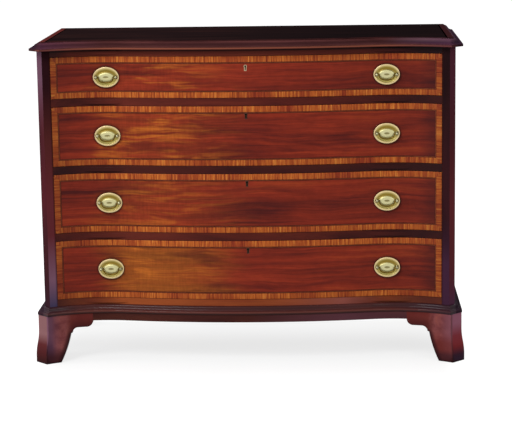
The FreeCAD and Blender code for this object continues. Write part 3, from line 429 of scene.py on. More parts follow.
RAIL_COLOURS = (srgb(56, 21, 20), srgb(84, 32, 27), srgb(104, 42, 31))
BOTTOM_RAIL_COLOURS = (srgb(98, 40, 28), srgb(124, 54, 33), srgb(148, 74, 39))
MOULDING_COLOURS = (srgb(52, 23, 21), srgb(72, 33, 30), srgb(92, 43, 37))
APRON_COLOURS = (srgb(56, 27, 25), srgb(70, 34, 30), srgb(88, 45, 35))
# The posts' purple tint is partly a painted sheen
POST_COLOURS_AND_SHEEN = (srgb(42, 18, 25), srgb(58, 24, 31), srgb(72, 29, 33))
TOP_COLOURS = (srgb(15, 9, 10), srgb(23, 14, 15), srgb(32, 18, 17))
BORDER_COLOURS = (srgb(50, 20, 20), srgb(68, 29, 28), srgb(84, 38, 33))
FRONT_BORDER_COLOURS = (srgb(26, 13, 14), srgb(36, 17, 18), srgb(46, 21, 20))
EDGE_COLOURS = (srgb(46, 23, 23), srgb(60, 32, 32), srgb(74, 41, 40))
SIDE_COLOURS = (srgb(40, 17, 16), srgb(58, 25, 22), srgb(76, 33, 27))
# The feet's pink and blue tint is partly a painted sheen
FOOT_COLOURS_AND_SHEEN = (srgb(108, 55, 57), srgb(132, 72, 73), srgb(150, 86, 82))
OAK_COLOURS = (srgb(122, 88, 54), srgb(158, 118, 76), srgb(184, 144, 98))
PINE_COLOURS = (srgb(104, 70, 42), srgb(140, 98, 60), srgb(168, 124, 80))

# Tones mixed into the wood: painted sheen, reflections, highlights and shade, and the dark and light of soft
# patches on the feet

MAUVE_SHEEN, PLUM_SHEEN, NAVY_REFLECTION = srgb(100, 68, 86), srgb(62, 34, 54), srgb(36, 24, 36)
DEEP_RED, WARM_RED_LIGHT = srgb(82, 28, 34), srgb(110, 47, 36)
NEAR_BLACK_SHADE, BLACK_SHADE = srgb(30, 15, 18), srgb(12, 8, 9)
LIT_BEAD, QUIRK_SHADE = srgb(112, 60, 50), srgb(58, 32, 34)
LIT_EDGE, EDGE_QUIRK_SHADE, EDGE_LILAC_SHEEN = srgb(148, 86, 67), srgb(38, 18, 20), srgb(80, 62, 70)
GAP_SHADE = srgb(44, 17, 14)
RAIL_END_SHADE, RAIL_LIT, RAIL_ROSE_SHEEN = srgb(62, 30, 28), srgb(172, 90, 44), srgb(150, 84, 74)
APRON_ROSE_SHEEN = srgb(98, 58, 68)
STILE_MAUVE_SHEEN, STILE_RED, STILE_BROWN = srgb(130, 92, 112), srgb(104, 45, 51), srgb(86, 39, 38)
STILE_BLUE_SHEEN, CANT_PLUM_SHEEN = srgb(74, 66, 96), srgb(84, 42, 68)
CANT_RED, CANT_WINE = srgb(104, 38, 44), srgb(84, 34, 50)
FOOT_DARK, FOOT_LIGHT = srgb(94, 44, 48), srgb(146, 80, 70)
FOOT_EDGE_SHADE, FOOT_LOWER_DARK, FOOT_RED = srgb(44, 21, 24), srgb(66, 31, 34), srgb(100, 39, 34)
FOOT_MAUVE_SHEEN, FOOT_ROSE_SHEEN = srgb(106, 72, 92), srgb(134, 86, 100)
LEFT_TOE, LEFT_ANKLE, LEFT_SHIN, LEFT_KNEE = (srgb(46, 16, 17), srgb(70, 22, 23), srgb(80, 28, 28),
                                              srgb(130, 90, 92))
RIGHT_TOE, RIGHT_ANKLE, RIGHT_SHIN, RIGHT_CALF, RIGHT_KNEE = (
    srgb(50, 34, 54), srgb(60, 32, 48), srgb(124, 42, 46), srgb(136, 54, 62), srgb(164, 102, 122))

# Where tones begin and end: a post's face and cant, a foot's cant, the right end, and beyond the cants

STILE_SIDE = ("X", CORNER_X + 0.5 * MM, CORNER_X - 0.5 * MM)
CANT_SIDE = ("X", CORNER_X - 0.5 * MM, CORNER_X + 0.5 * MM)
FOOT_CANT = ("X", CORNER_X + 6 * MM, CORNER_X + 10 * MM)
RIGHT_END = ("across", 0.8, 0.92)
BEYOND_CANT = (CORNER_X + CANT - 2 * MM, CORNER_X + CANT + 4 * MM)
base_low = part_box("base_moulding")[0][2]
top_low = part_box("top_board")[0][2]

# Posts: painted sheen, reflections and shade that change along their height and at the cant, and painted
# shade in the gap beside the drawers

POST_GAP = ("X", [(0.5556, GAP_SHADE, 0.7), (0.558, GAP_SHADE, 0.0)])
LEFT_TONES = (
    ("Z", [(0.165, STILE_BLUE_SHEEN, 0.95), (0.24, STILE_MAUVE_SHEEN, 0.95), (0.37, STILE_RED, 0.9),
           (0.46, STILE_RED, 0.95), (0.65, STILE_BROWN, 0.9), (0.8, NEAR_BLACK_SHADE, 0.5)], STILE_SIDE),
    ("Z", [(0.17, NAVY_REFLECTION, 0.6), (0.3, NEAR_BLACK_SHADE, 0.3), (0.46, DEEP_RED, 0.6), (0.66, DEEP_RED, 0.3),
           (0.82, MAUVE_SHEEN, 0.85)], CANT_SIDE),
    POST_GAP)
RIGHT_TONES = (
    ("Z", [(0.28, PLUM_SHEEN, 1.0), (0.42, NEAR_BLACK_SHADE, 0.4), (0.6, NEAR_BLACK_SHADE, 0.65), (0.8, BLACK_SHADE, 0.8)],
     STILE_SIDE),
    ("Z", [(0.17, CANT_PLUM_SHEEN, 0.9), (0.26, CANT_RED, 0.75), (0.46, CANT_RED, 1.0), (0.65, DEEP_RED, 0.8),
           (0.8, CANT_WINE, 0.95)], CANT_SIDE),
    POST_GAP)

# Rails and apron differ from end to end: painted light left of the middle, painted shade at the ends, under
# the top and on the middle divider, and painted sheen right of the middle

DIVIDER_TONES = (
    ("across", [(0.06, NEAR_BLACK_SHADE, 0.3), (0.1, NEAR_BLACK_SHADE, 0.15), (0.22, WARM_RED_LIGHT, 0.5),
                (0.4, WARM_RED_LIGHT, 0.15), (0.54, NEAR_BLACK_SHADE, 0.0), (0.75, NEAR_BLACK_SHADE, 0.3),
                (0.91, NEAR_BLACK_SHADE, 0.75)]),
    ("Z", [(0.37, NEAR_BLACK_SHADE, 0.05), (0.56, NEAR_BLACK_SHADE, 0.55), (0.72, NEAR_BLACK_SHADE, 0.0)]))
TOP_RAIL_TONES = (
    ("across", [(0.1, WARM_RED_LIGHT, 0.5), (0.2, WARM_RED_LIGHT, 0.95), (0.5, WARM_RED_LIGHT, 0.95), (0.76, WARM_RED_LIGHT, 0.4),
                (0.83, NEAR_BLACK_SHADE, 0.5), (0.9, NEAR_BLACK_SHADE, 0.9)]),
    ("X", [(0.5, NEAR_BLACK_SHADE, 0.0), (0.54, NEAR_BLACK_SHADE, 0.7)]),
    ("Z", [(top_low - 8 * MM, BLACK_SHADE, 0.0), (top_low - 5 * MM, BLACK_SHADE, 0.8), (top_low, BLACK_SHADE, 0.9)]))
BOTTOM_RAIL_TONES = (
    ("across", [(0.05, RAIL_END_SHADE, 0.9), (0.13, RAIL_END_SHADE, 0.4), (0.2, RAIL_LIT, 0.6), (0.34, RAIL_LIT, 0.5),
                (0.5, RAIL_LIT, 0.0), (0.72, RAIL_ROSE_SHEEN, 0.85), (0.82, RAIL_END_SHADE, 0.3),
                (0.9, RAIL_END_SHADE, 0.75)]),)
APRON_TONES = (("across", [(0.5, APRON_ROSE_SHEEN, 0.0), (0.72, APRON_ROSE_SHEEN, 0.8), (0.9, APRON_ROSE_SHEEN, 0.3)]),)

# Mouldings: lighter with painted highlights on their beads, dark with painted shade in their quirks and below
# them, and painted reflections at their ends and sides

MOULDING_TONES = (
    ("Z", [(base_low + 0.5 * MM, BLACK_SHADE, 0.85), (base_low + 2.5 * MM, BLACK_SHADE, 0.5),
           (base_low + 4.5 * MM, LIT_BEAD, 0.9), (base_low + 7 * MM, LIT_BEAD, 0.4),
           (base_low + 9 * MM, QUIRK_SHADE, 0.5), (base_low + 20 * MM, QUIRK_SHADE, 0.5)]),
    ("across", [(0.8, NAVY_REFLECTION, 0.0), (0.92, NAVY_REFLECTION, 0.4)]),
    ("X", [(CORNER_X - 80 * MM, NAVY_REFLECTION, 0.0), (CORNER_X, NAVY_REFLECTION, 0.5), (BEYOND_CANT[1], NAVY_REFLECTION, 0.85)]))
EDGE_TONES = (
    ("Z", [(top_low + 0.5 * MM, WARM_RED_LIGHT, 0.5), (top_low + 1.5 * MM, LIT_EDGE, 0.7),
           (top_low + 3.5 * MM, LIT_EDGE, 1.0), (top_low + 5 * MM, EDGE_QUIRK_SHADE, 0.3),
           (top_low + 9 * MM, EDGE_QUIRK_SHADE, 0.4), (top_low + 12 * MM, EDGE_QUIRK_SHADE, 0.6),
           (top_low + 15 * MM, EDGE_QUIRK_SHADE, 0.6), (top_low + 17 * MM, EDGE_QUIRK_SHADE, 0.0)]),
    ("Z", [(top_low + 5 * MM, NAVY_REFLECTION, 0.3), (top_low + 8 * MM, NAVY_REFLECTION, 0.2), (top_low + 10 * MM, NAVY_REFLECTION, 0.75),
           (top_low + 13 * MM, NAVY_REFLECTION, 0.75), (top_low + 16 * MM, EDGE_LILAC_SHEEN, 0.5),
           (top_low + 20 * MM, EDGE_LILAC_SHEEN, 0.5)], RIGHT_END),
    ("X", [(0.4, PLUM_SHEEN, 0.0), (0.5, PLUM_SHEEN, 0.2), (CORNER_X, PLUM_SHEEN, 0.45), (BEYOND_CANT[0], NAVY_REFLECTION, 0.6),
           (BEYOND_CANT[1], NAVY_REFLECTION, 0.85)]))
# Painted shade towards the right end of the top and of its side border
TOP_TONES = (("across", [(0.3, BLACK_SHADE, 0.0), (0.75, BLACK_SHADE, 0.7)]),)
BORDER_TONES = (("across", [(0.3, NEAR_BLACK_SHADE, 0.0), (0.9, NEAR_BLACK_SHADE, 0.85)]),)

# Feet: painted shade along their inner and lower edges, darker towards the floor, and painted light, sheen
# and shade on their cants and sides

BRACKET_END = ("X", [(0.434, FOOT_RED, 0.9), (0.515, FOOT_RED, 0.8), (0.53, FOOT_RED, 0.0)])
BRACKET_FOOT = ("Z", [(0.098, FOOT_EDGE_SHADE, 0.7), (0.112, FOOT_EDGE_SHADE, 0.35), (0.126, FOOT_EDGE_SHADE, 0.0)],
                ("X", 0.54, 0.5))
LEG_EDGE = ("lean", [(TOE_X, FOOT_EDGE_SHADE, 0.9), (TOE_X + 5 * MM, FOOT_EDGE_SHADE, 0.7),
                     (TOE_X + 12 * MM, FOOT_EDGE_SHADE, 0.0)], ("Z", 0.095, 0.08))
FOOT_FLOOR = ("Z", [(0.0, FOOT_LOWER_DARK, 0.9), (0.02, FOOT_LOWER_DARK, 0.8), (0.045, FOOT_LOWER_DARK, 0.0)])
LEFT_FOOT_SIDE = ("Z", [(0.0, LEFT_TOE, 1.0), (0.03, LEFT_ANKLE, 0.95), (0.055, LEFT_SHIN, 0.95),
                        (0.085, LEFT_KNEE, 0.95), (0.12, LEFT_KNEE, 0.95)], FOOT_CANT)
RIGHT_FOOT_SIDE = ("Z", [(0.0, RIGHT_TOE, 1.0), (0.022, RIGHT_ANKLE, 0.95), (0.045, RIGHT_SHIN, 0.95),
                         (0.075, RIGHT_CALF, 0.95), (0.11, RIGHT_KNEE, 0.95)], FOOT_CANT)
LEFT_FOOT_TONES = (
    BRACKET_END, BRACKET_FOOT,
    ("X", [(0.545, FOOT_MAUVE_SHEEN, 0.0), (0.56, FOOT_MAUVE_SHEEN, 0.3), (0.572, FOOT_MAUVE_SHEEN, 0.85)]),
    ("Z", [(0.02, PLUM_SHEEN, 0.7), (0.05, PLUM_SHEEN, 0.6), (0.08, PLUM_SHEEN, 0.0)], ("X", 0.556, 0.576)),
    FOOT_FLOOR, LEG_EDGE, LEFT_FOOT_SIDE)
RIGHT_FOOT_TONES = (
    BRACKET_END, BRACKET_FOOT,
    ("X", [(0.55, FOOT_ROSE_SHEEN, 0.0), (0.565, FOOT_ROSE_SHEEN, 0.4), (0.582, FOOT_ROSE_SHEEN, 0.7)]),
    ("Z", [(0.0, FOOT_LOWER_DARK, 1.0), (0.02, FOOT_LOWER_DARK, 0.9), (0.035, FOOT_RED, 0.8), (0.055, FOOT_RED, 0.75),
           (0.085, FOOT_RED, 0.1)]),
    LEG_EDGE, RIGHT_FOOT_SIDE)
FOOT_FINISH = {"shine": 0.02, "mottle": (FOOT_DARK, FOOT_LIGHT), "rim": (FOOT_EDGE_SHADE, 0.075, 0.045)}

top_rail_wood = grained_wood("top_rail_mahogany", RAIL_COLOURS, "X", 0.3, tones=TOP_RAIL_TONES)
bottom_rail_wood = grained_wood("bottom_rail_mahogany", BOTTOM_RAIL_COLOURS, "X", 0.4,
                                tones=BOTTOM_RAIL_TONES)
divider_wood = grained_wood("divider_mahogany", RAIL_COLOURS, "X", 0.5, tones=DIVIDER_TONES)
left_post_wood = grained_wood("left_post_mahogany", POST_COLOURS_AND_SHEEN, "Z", 0.8, shine=0.01, tones=LEFT_TONES)
right_post_wood = grained_wood("right_post_mahogany", POST_COLOURS_AND_SHEEN, "Z", 1.3, shine=0.03, tones=RIGHT_TONES)
side_wood = grained_wood("side_mahogany", SIDE_COLOURS, "Z", 1.9, shine=0.04)
top_wood = grained_wood("top_mahogany", TOP_COLOURS, "X", 2.3, gloss=0.45, shine=0.0, tones=TOP_TONES)
front_border = grained_wood("top_front_border", FRONT_BORDER_COLOURS, "Y", 2.5, gloss=0.45, shine=0.0)
side_border = grained_wood("top_side_border", BORDER_COLOURS, "X", 2.7, gloss=0.45, shine=0.0,
                           tones=BORDER_TONES)
edge_wood = grained_wood("top_edge_mahogany", EDGE_COLOURS, "X", 2.9, shine=0.0, tones=EDGE_TONES)
moulding_wood = grained_wood("moulding_mahogany", MOULDING_COLOURS, "X", 3.1, gloss=0.15, shine=0.1,
                             tones=MOULDING_TONES, dull=BEYOND_CANT)
apron_wood = grained_wood("apron_mahogany", APRON_COLOURS, "X", 3.7, shine=0.04, tones=APRON_TONES)
left_foot_wood = grained_wood("left_foot_mahogany", FOOT_COLOURS_AND_SHEEN, "X", 4.4, tones=LEFT_FOOT_TONES,
                              **FOOT_FINISH)
right_foot_wood = grained_wood("right_foot_mahogany", FOOT_COLOURS_AND_SHEEN, "X", 4.9, tones=RIGHT_FOOT_TONES,
                               **FOOT_FINISH)
rear_left_wood = grained_wood("rear_left_foot_mahogany", FOOT_COLOURS_AND_SHEEN, "X", 5.4,
                              tones=(FOOT_FLOOR, LEFT_FOOT_SIDE), **FOOT_FINISH)
rear_right_wood = grained_wood("rear_right_foot_mahogany", FOOT_COLOURS_AND_SHEEN, "X", 5.9,
                               tones=(FOOT_FLOOR, RIGHT_FOOT_SIDE), **FOOT_FINISH)
oak = grained_wood("drawer_oak", OAK_COLOURS, "Y", 5.2, gloss=0.6, shine=0.2)
back_oak = grained_wood("drawer_back_oak", OAK_COLOURS, "X", 6.1, gloss=0.6, shine=0.2)
pine = grained_wood("carcass_pine", PINE_COLOURS, "Y", 7.3, gloss=0.7, shine=0.15)
back_pine = grained_wood("back_pine", PINE_COLOURS, "Z", 8.6, gloss=0.7, shine=0.15)

# Brass: darker colour, lighter colour and tarnish

# Tones of a plate from its rim in to its boss, with painted shade at the plate's outer edge and at the foot
# of the boss
PLATE_TONES_AND_SHADE = [(0.06, srgb(128, 108, 62)), (0.16, srgb(198, 176, 136)), (0.26, srgb(190, 170, 118)),
               (0.34, srgb(160, 144, 80)), (0.46, srgb(142, 124, 54)), (0.54, srgb(112, 92, 34)),
               (0.58, srgb(146, 134, 84)), (0.64, srgb(174, 170, 122)), (0.88, srgb(186, 182, 142)),
               (0.95, srgb(104, 96, 62))]
PLATE_COLOURS = (srgb(160, 148, 96), srgb(196, 186, 134), srgb(92, 76, 30))
PULL_POST_COLOURS = (srgb(120, 116, 88), srgb(160, 156, 122), srgb(58, 52, 30))
# The bail is darker than the plate: tarnish and a painted shade
BAIL_TARNISH_AND_SHADE_COLOURS = (srgb(78, 58, 16), srgb(100, 78, 28), srgb(46, 34, 8))
BRIGHT_LINING_COLOURS = (srgb(160, 140, 112), srgb(190, 170, 138), srgb(104, 84, 64))
DULL_LINING_COLOURS = (srgb(62, 44, 36), srgb(78, 56, 46), srgb(40, 28, 22))
SUNK = VALLEY_Y - VALLEY_DEPTH + 0.5 * MM
plate_brass = aged_brass("plate_brass", PLATE_COLOURS, plate=PLATE_TONES_AND_SHADE, gloss=0.46)
post_brass = aged_brass("post_brass", PULL_POST_COLOURS)
bail_brass = aged_brass("bail_brass", BAIL_TARNISH_AND_SHADE_COLOURS)
bright_lining = aged_brass("bright_lining", BRIGHT_LINING_COLOURS, sunk=SUNK)
dull_lining = aged_brass("dull_lining", DULL_LINING_COLOURS, sunk=SUNK)

STRING_COLOURS = {"dark_string": srgb(58, 22, 21), "pale_string": srgb(138, 74, 50)}
strings = {name: string_line(name, colour) for name, colour in STRING_COLOURS.items()}

paint(top_rail_wood, "top_rail")
paint(bottom_rail_wood, "bottom_rail")
paint(divider_wood, "drawer_dividers")
paint(left_post_wood, "left_corner_post")
paint(right_post_wood, "right_corner_post")
paint(side_wood, "left_side", "right_side")
paint(edge_wood, "top_board")
paint(moulding_wood, "base_moulding")
paint(apron_wood, "base_aprons")
paint(left_foot_wood, "front_left_foot")
paint(right_foot_wood, "front_right_foot")
paint(rear_left_wood, "rear_left_foot")
paint(rear_right_wood, "rear_right_foot")
paint(pine, "bottom_board", "dust_boards", "drawer_runners", "drawer_stops", "foot_blocks")
paint(back_pine, "back_boards")
for number in DRAWERS:
    drawer = f"drawer_{number}"
    paint(flame_veneer(f"{drawer}_field", number * 1.31, *FLAMES_AND_SHEEN[number]), f"{drawer}_front")
    paint(oak, f"{drawer}_sides", f"{drawer}_bottom")
    paint(back_oak, f"{drawer}_back")
    paint(bright_lining if number == 1 else dull_lining, f"{drawer}_lock")


# Pieces on the serpentine front

def face_point(along, out):
    """Point on the front, at a length along the curve from the middle and a distance out before the face."""
    length = abs(along)
    side = 1.0 if along >= 0 else -1.0
    if length <= SWELL_LENGTH:
        angle = length / SWELL_RADIUS
        radius = SWELL_RADIUS + out
        return side * radius * math.sin(angle), SWELL_CENTRE_Y - radius * math.cos(angle)
    angle = JOIN_ANGLE - (length - SWELL_LENGTH) / HOLLOW_RADIUS
    radius = HOLLOW_RADIUS - out
    return side * (VALLEY_X - radius * math.sin(angle)), HOLLOW_CENTRE_Y + radius * math.cos(angle)


def length_at(x, out=0.0):
    """Length along the front from the middle to a point of the hollow end, out before the face."""
    angle = math.asin((VALLEY_X - x) / (HOLLOW_RADIUS - out))
    return SWELL_LENGTH + (JOIN_ANGLE - angle) * HOLLOW_RADIUS


def mesh_piece(name, vertices, faces, materials, face_materials=None, uvs=None, smooth=True):
    mesh = bpy.data.meshes.new(name)
    mesh.from_pydata(vertices, [], faces)
    for material in materials:
        mesh.materials.append(material)
    if uvs:
        layer = mesh.uv_layers.new(name="UVMap")
        for loop in mesh.loops:
            layer.data[loop.index].uv = uvs[loop.vertex_index]
    for index, polygon in enumerate(mesh.polygons):
        polygon.use_smooth = smooth
        if face_materials:
            polygon.material_index = face_materials[index]
    piece = bpy.data.objects.new(name, mesh)
    bpy.context.scene.collection.objects.link(piece)
    return piece


class MitredFrame:
    """Collects frames on a drawer front: each is a profile of (inset from the edge, distance out)."""

    LONG_STEPS, SHORT_STEPS = 96, 8
    GRAIN_STRETCH = 3.0

    def __init__(self, half_length, low, high):
        self.half_length, self.low, self.high = half_length, low, high
        self.vertices, self.faces, self.uvs, self.face_materials = [], [], [], []

    def strip(self, profile, steps, place, material):
        start = len(self.vertices)
        for inset, out in profile:
            for index in range(steps + 1):
                share = 2 * index / steps - 1
                along, height, run = place(share, inset)
                x, y = face_point(along, out)
                self.vertices.append((x, y, height))
                self.uvs.append((run, inset))
        row = steps + 1
        for line in range(len(profile) - 1):
            for index in range(steps):
                corner = start + line * row + index
                self.faces.append((corner, corner + 1, corner + row + 1, corner + row))
                self.face_materials.append(material)

    def ring(self, profile, material):
        """Four mitred strips, each with a stretch of grain of its own."""
        middle = (self.low + self.high) / 2
        half_height = (self.high - self.low) / 2
        half = self.half_length
        stretch = self.GRAIN_STRETCH

        def top(share, inset):
            run = share * (half - inset)
            return run, self.high - inset, run

        def bottom(share, inset):
            run = share * (half - inset)
            return -run, self.low + inset, stretch + run

        def right(share, inset):
            run = share * (half_height - inset)
            return half - inset, middle - run, 2 * stretch + run

        def left(share, inset):
            run = share * (half_height - inset)
            return inset - half, middle + run, 3 * stretch + run

        for place in (top, bottom):
            self.strip(profile, self.LONG_STEPS, place, material)
        for place in (right, left):
            self.strip(profile, self.SHORT_STEPS, place, material)


def rounded_edge(round_off, out, depth, steps=4):
    """Profile of an outer edge, from its foot over a rounded arris to the flat."""
    arc = [math.pi / 2 * step / steps for step in range(steps + 1)]
    turn = [(round_off * (1 - math.cos(angle)), out - round_off * (1 - math.sin(angle))) for angle in arc]
    return [(0.0, out - depth)] + turn


STRING_EDGE = 0.02 * MM
STRING_SUNK = -0.1 * MM

for number in DRAWERS:
    drawer = f"drawer_{number}"
    low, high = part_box(f"{drawer}_crossbanding")
    half_length = length_at(high[0])
    band = MitredFrame(half_length, low[2], high[2])
    profile = rounded_edge(BAND_ROUND, BAND_PROUD, BAND_DEPTH + BAND_PROUD) + [(BAND_WIDTH, BAND_PROUD)]
    band.ring(profile, 0)
    veneer = banding_veneer(f"{drawer}_band_veneer", number * 2.7)
    piece = mesh_piece(f"{drawer}_banding", band.vertices, band.faces, [veneer], uvs=band.uvs)
    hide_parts(f"{drawer}_crossbanding")
    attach(piece, drawer)

    lines = MitredFrame(half_length, low[2], high[2])
    inset = BAND_WIDTH
    for name, width in STRING_WIDTHS:
        lines.ring([(inset, BAND_PROUD), (inset + width, BAND_PROUD)], list(strings).index(name))
        inset += width
    lines.ring([(inset, BAND_PROUD), (inset + STRING_EDGE, STRING_SUNK)], 0)
    piece = mesh_piece(f"{drawer}_stringing", lines.vertices, lines.faces, list(strings.values()),
                       lines.face_materials, lines.uvs)
    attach(piece, drawer)


# Veneered face of the top, inside its moulded edge: a dark field with a crossbanded border

TOP_INSET = 5.5 * MM
TOP_BORDER = 20 * MM
TOP_PROUD = 0.1 * MM
TOP_STEPS = 120
FIELD, SIDE_BORDER, FRONT_BORDER = 0, 1, 2
top_back, top_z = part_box("top_board")[1][1:]


def top_outline(inset):
    """Sides, canted corners and front of the top, from the back left corner to the back right one."""
    cant_line = CORNER_X - CORNER_Y - inset * math.sqrt(2)
    reach = cant_line - VALLEY_X
    spread = math.sqrt(2 * (HOLLOW_RADIUS + inset) ** 2 - (reach + HOLLOW_CENTRE_Y) ** 2)
    corner_x = cant_line + (spread - reach + HOLLOW_CENTRE_Y) / 2
    half_length = length_at(corner_x, -inset)
    front = [face_point(half_length * (2 * step / TOP_STEPS - 1), -inset) for step in range(TOP_STEPS + 1)]
    side_x = CORNER_X + CANT - inset
    left = [(-side_x, top_back), (-side_x, side_x - cant_line)]
    return left + front + [(-x, y) for x, y in left[::-1]]


outer, inner = top_outline(TOP_INSET), top_outline(TOP_INSET + TOP_BORDER)
row = len(outer)
back_edge = [(x, top_back) for x, y in inner[1:-1]]
vertices = [(x, y, top_z + TOP_PROUD) for x, y in outer + inner + back_edge]
faces = [(step, step + 1, row + step + 1, row + step) for step in range(row - 1)]
face_materials = [SIDE_BORDER if step in (0, row - 2) else FRONT_BORDER for step in range(row - 1)]
faces += [(row + step, row + step + 1, 2 * row + step, 2 * row + step - 1) for step in range(1, row - 2)]
face_materials += [FIELD] * (row - 3)
piece = mesh_piece("top_veneer", vertices, faces, [top_wood, side_border, front_border], face_materials,
                   smooth=False)
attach(piece, "carcass")


# Brass pulls in millimetres: stamped oval plates, turned posts and swelling bails

# Rings of a plate: half width, half height and distance out
PLATE_RINGS = (
    (37.5, 29.5, -6.0), (37.5, 29.5, 0.6), (37.2, 29.2, 1.5), (36.5, 28.5, 2.1), (35.4, 27.4, 2.4),
    (33.8, 25.8, 2.3), (32.4, 24.4, 1.9), (31.4, 23.4, 1.3), (30.6, 22.4, 0.7), (29.6, 20.8, 0.35),
    (28.0, 18.6, 0.2), (26.0, 16.4, 0.3), (24.0, 14.6, 0.7), (22.8, 13.6, 1.6), (22.2, 13.0, 2.6),
    (21.3, 12.2, 3.5), (19.9, 11.0, 4.2), (17.9, 9.5, 4.5), (14.8, 7.4, 4.7), (10.9, 5.0, 4.8),
    (8.0, 3.2, 4.7), (6.4, 2.0, 4.2), (3.8, 1.0, 3.8))
# Turned profiles of a post and its nut: radius and distance out
POST_PROFILE = (
    (3.0, -34.0), (3.0, 0.0), (4.4, 0.2), (4.4, 1.3), (3.9, 1.9), (2.9, 2.3), (2.5, 3.0), (2.5, 3.9),
    (2.9, 4.5))
BALL_OUT = 8.5
BALL_RADIUS = 4.6
BALL_STEPS = 12
BALL_TIP = math.pi - 0.04
NUT_PROFILE = ((3.0, -33.0), (5.6, -33.0), (6.6, -32.4), (7.0, -31.2), (7.0, -23.0))
WIRE_RADIUS = 1.6
WIRE_SWELL = 0.3
WIRE_SEGMENTS = 20
BAIL_DROP = 15.5
BAIL_ARC = 40.0
BAIL_SHOULDER = 10.6
BAIL_BEND = 3.0
BAIL_END = 29.5


class Shell:
    """Collects rings of points and closes them with quads."""

    def __init__(self):
        self.vertices, self.faces, self.uvs = [], [], []

    def rings(self, rings):
        """Adds rings from the foot outwards, closed at the last. The first coordinate runs ring to ring."""
        start = len(self.vertices)
        count = len(rings[0])
        for line, ring in enumerate(rings):
            self.vertices.extend(ring)
            self.uvs.extend((line / (len(rings) - 1), index / count) for index in range(count))
        for line in range(len(rings) - 1):
            for index in range(count):
                one = start + line * count + index
                two = start + line * count + (index + 1) % count
                self.faces.append((one, two, two + count, one + count))
        last = start + (len(rings) - 1) * count
        self.faces.append(tuple(range(last, last + count)))


def oval_ring(x, z, half_width, half_height, out):
    angles = [2 * math.pi * index / PULL_SEGMENTS for index in range(PULL_SEGMENTS)]
    y = PLATE_Y - out * MM
    return [(x + half_width * MM * math.cos(angle), y, z + half_height * MM * math.sin(angle))
            for angle in angles]


def ball_profile():
    """Round head of a post, from its neck to its tip."""
    start = math.asin(POST_PROFILE[-1][0] / BALL_RADIUS)
    angles = [start + (BALL_TIP - start) * step / BALL_STEPS for step in range(1, BALL_STEPS + 1)]
    return [(BALL_RADIUS * math.sin(angle), BALL_OUT - BALL_RADIUS * math.cos(angle)) for angle in angles]


def arc_points(centre, radius, start, end, steps):
    """Points on an arc after its first one, with angles in radians."""
    angles = [start + (end - start) * step / steps for step in range(1, steps + 1)]
    return [(centre.x + radius * math.cos(angle), centre.y + radius * math.sin(angle)) for angle in angles]


def bail_path():
    """Centre line of a bail from its right end to its left one, as (x, z) from the middle of the hinge line:
    a pin, a close bend, a round shoulder and half of the wide arc, then the same mirrored."""
    middle = Vector((0.0, BAIL_ARC - BAIL_DROP))
    rise = middle.y + BAIL_BEND
    shoulder = Vector((math.sqrt((BAIL_ARC - BAIL_SHOULDER) ** 2 - rise ** 2), -BAIL_BEND))
    bend = Vector((shoulder.x + BAIL_SHOULDER + BAIL_BEND, -BAIL_BEND))
    join = math.atan2(shoulder.y - middle.y, shoulder.x - middle.x)
    path = [(BAIL_END, 0.0), (bend.x, 0.0)]
    path += arc_points(bend, BAIL_BEND, math.pi / 2, math.pi, 10)
    path += arc_points(shoulder, BAIL_SHOULDER, 0.0, join, 14)
    path += arc_points(middle, BAIL_ARC, join, -math.pi / 2, 12)
    return path + [(-x, z) for x, z in path[-2::-1]]


def bail_rings(x, z):
    """Rings of the wire along the bail, thickest where it hangs lowest."""
    path = [Vector(point) for point in bail_path()]
    rings = []
    for index, point in enumerate(path):
        before, after = path[max(index - 1, 0)], path[min(index + 1, len(path) - 1)]
        heading = (after - before).normalized()
        side = Vector((-heading.y, heading.x))
        hang = max(0.0, -point.y / BAIL_DROP)
        radius = WIRE_RADIUS + WIRE_SWELL * hang ** 2
        ring = []
        for step in range(WIRE_SEGMENTS):
            angle = 2 * math.pi * step / WIRE_SEGMENTS
            place = point + side * radius * math.cos(angle)
            ring.append((x + place.x * MM, BAIL_AXIS_Y - radius * MM * math.sin(angle), z + place.y * MM))
        rings.append(ring)
    return rings


for number in DRAWERS:
    drawer = f"drawer_{number}"
    low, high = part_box(f"{drawer}_pull_plates")
    middle_z = (low[2] + high[2]) / 2
    plates, posts = Shell(), Shell()
    for side, x in (("left", -PULL_X), ("right", PULL_X)):
        plates.rings([oval_ring(x, middle_z, *ring) for ring in PLATE_RINGS])
        for post_x in (x - POST_X, x + POST_X):
            for profile in (POST_PROFILE + tuple(ball_profile()), NUT_PROFILE):
                posts.rings([oval_ring(post_x, middle_z, radius, radius, out) for radius, out in profile])
        rings = bail_rings(x, middle_z)
        bail = Shell()
        bail.rings(rings)
        bail.faces.append(tuple(range(len(rings[0])))[::-1])
        piece = mesh_piece(f"{drawer}_{side}_bail_wire", bail.vertices, bail.faces, [bail_brass])
        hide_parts(f"{drawer}_{side}_bail")
        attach(piece, f"{drawer}_{side}_bail")
    for name, shell, finish in (("pull_plates", plates, plate_brass), ("pull_posts", posts, post_brass)):
        piece = mesh_piece(f"{drawer}_{name}_brass", shell.vertices, shell.faces, [finish], uvs=shell.uvs)
        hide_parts(f"{drawer}_{name}")
        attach(piece, drawer)


# Stage: floor, lights, world and camera

def area_light(name, place, target, size, power):
    light = bpy.data.lights.new(name, "AREA")
    light.shape = "RECTANGLE"
    light.size, light.size_y = size
    light.energy = power
    lamp = bpy.data.objects.new(name, light)
    lamp.location = place
    lamp.rotation_euler = (Vector(target) - Vector(place)).to_track_quat("-Z", "Y").to_euler()
    bpy.context.scene.collection.objects.link(lamp)


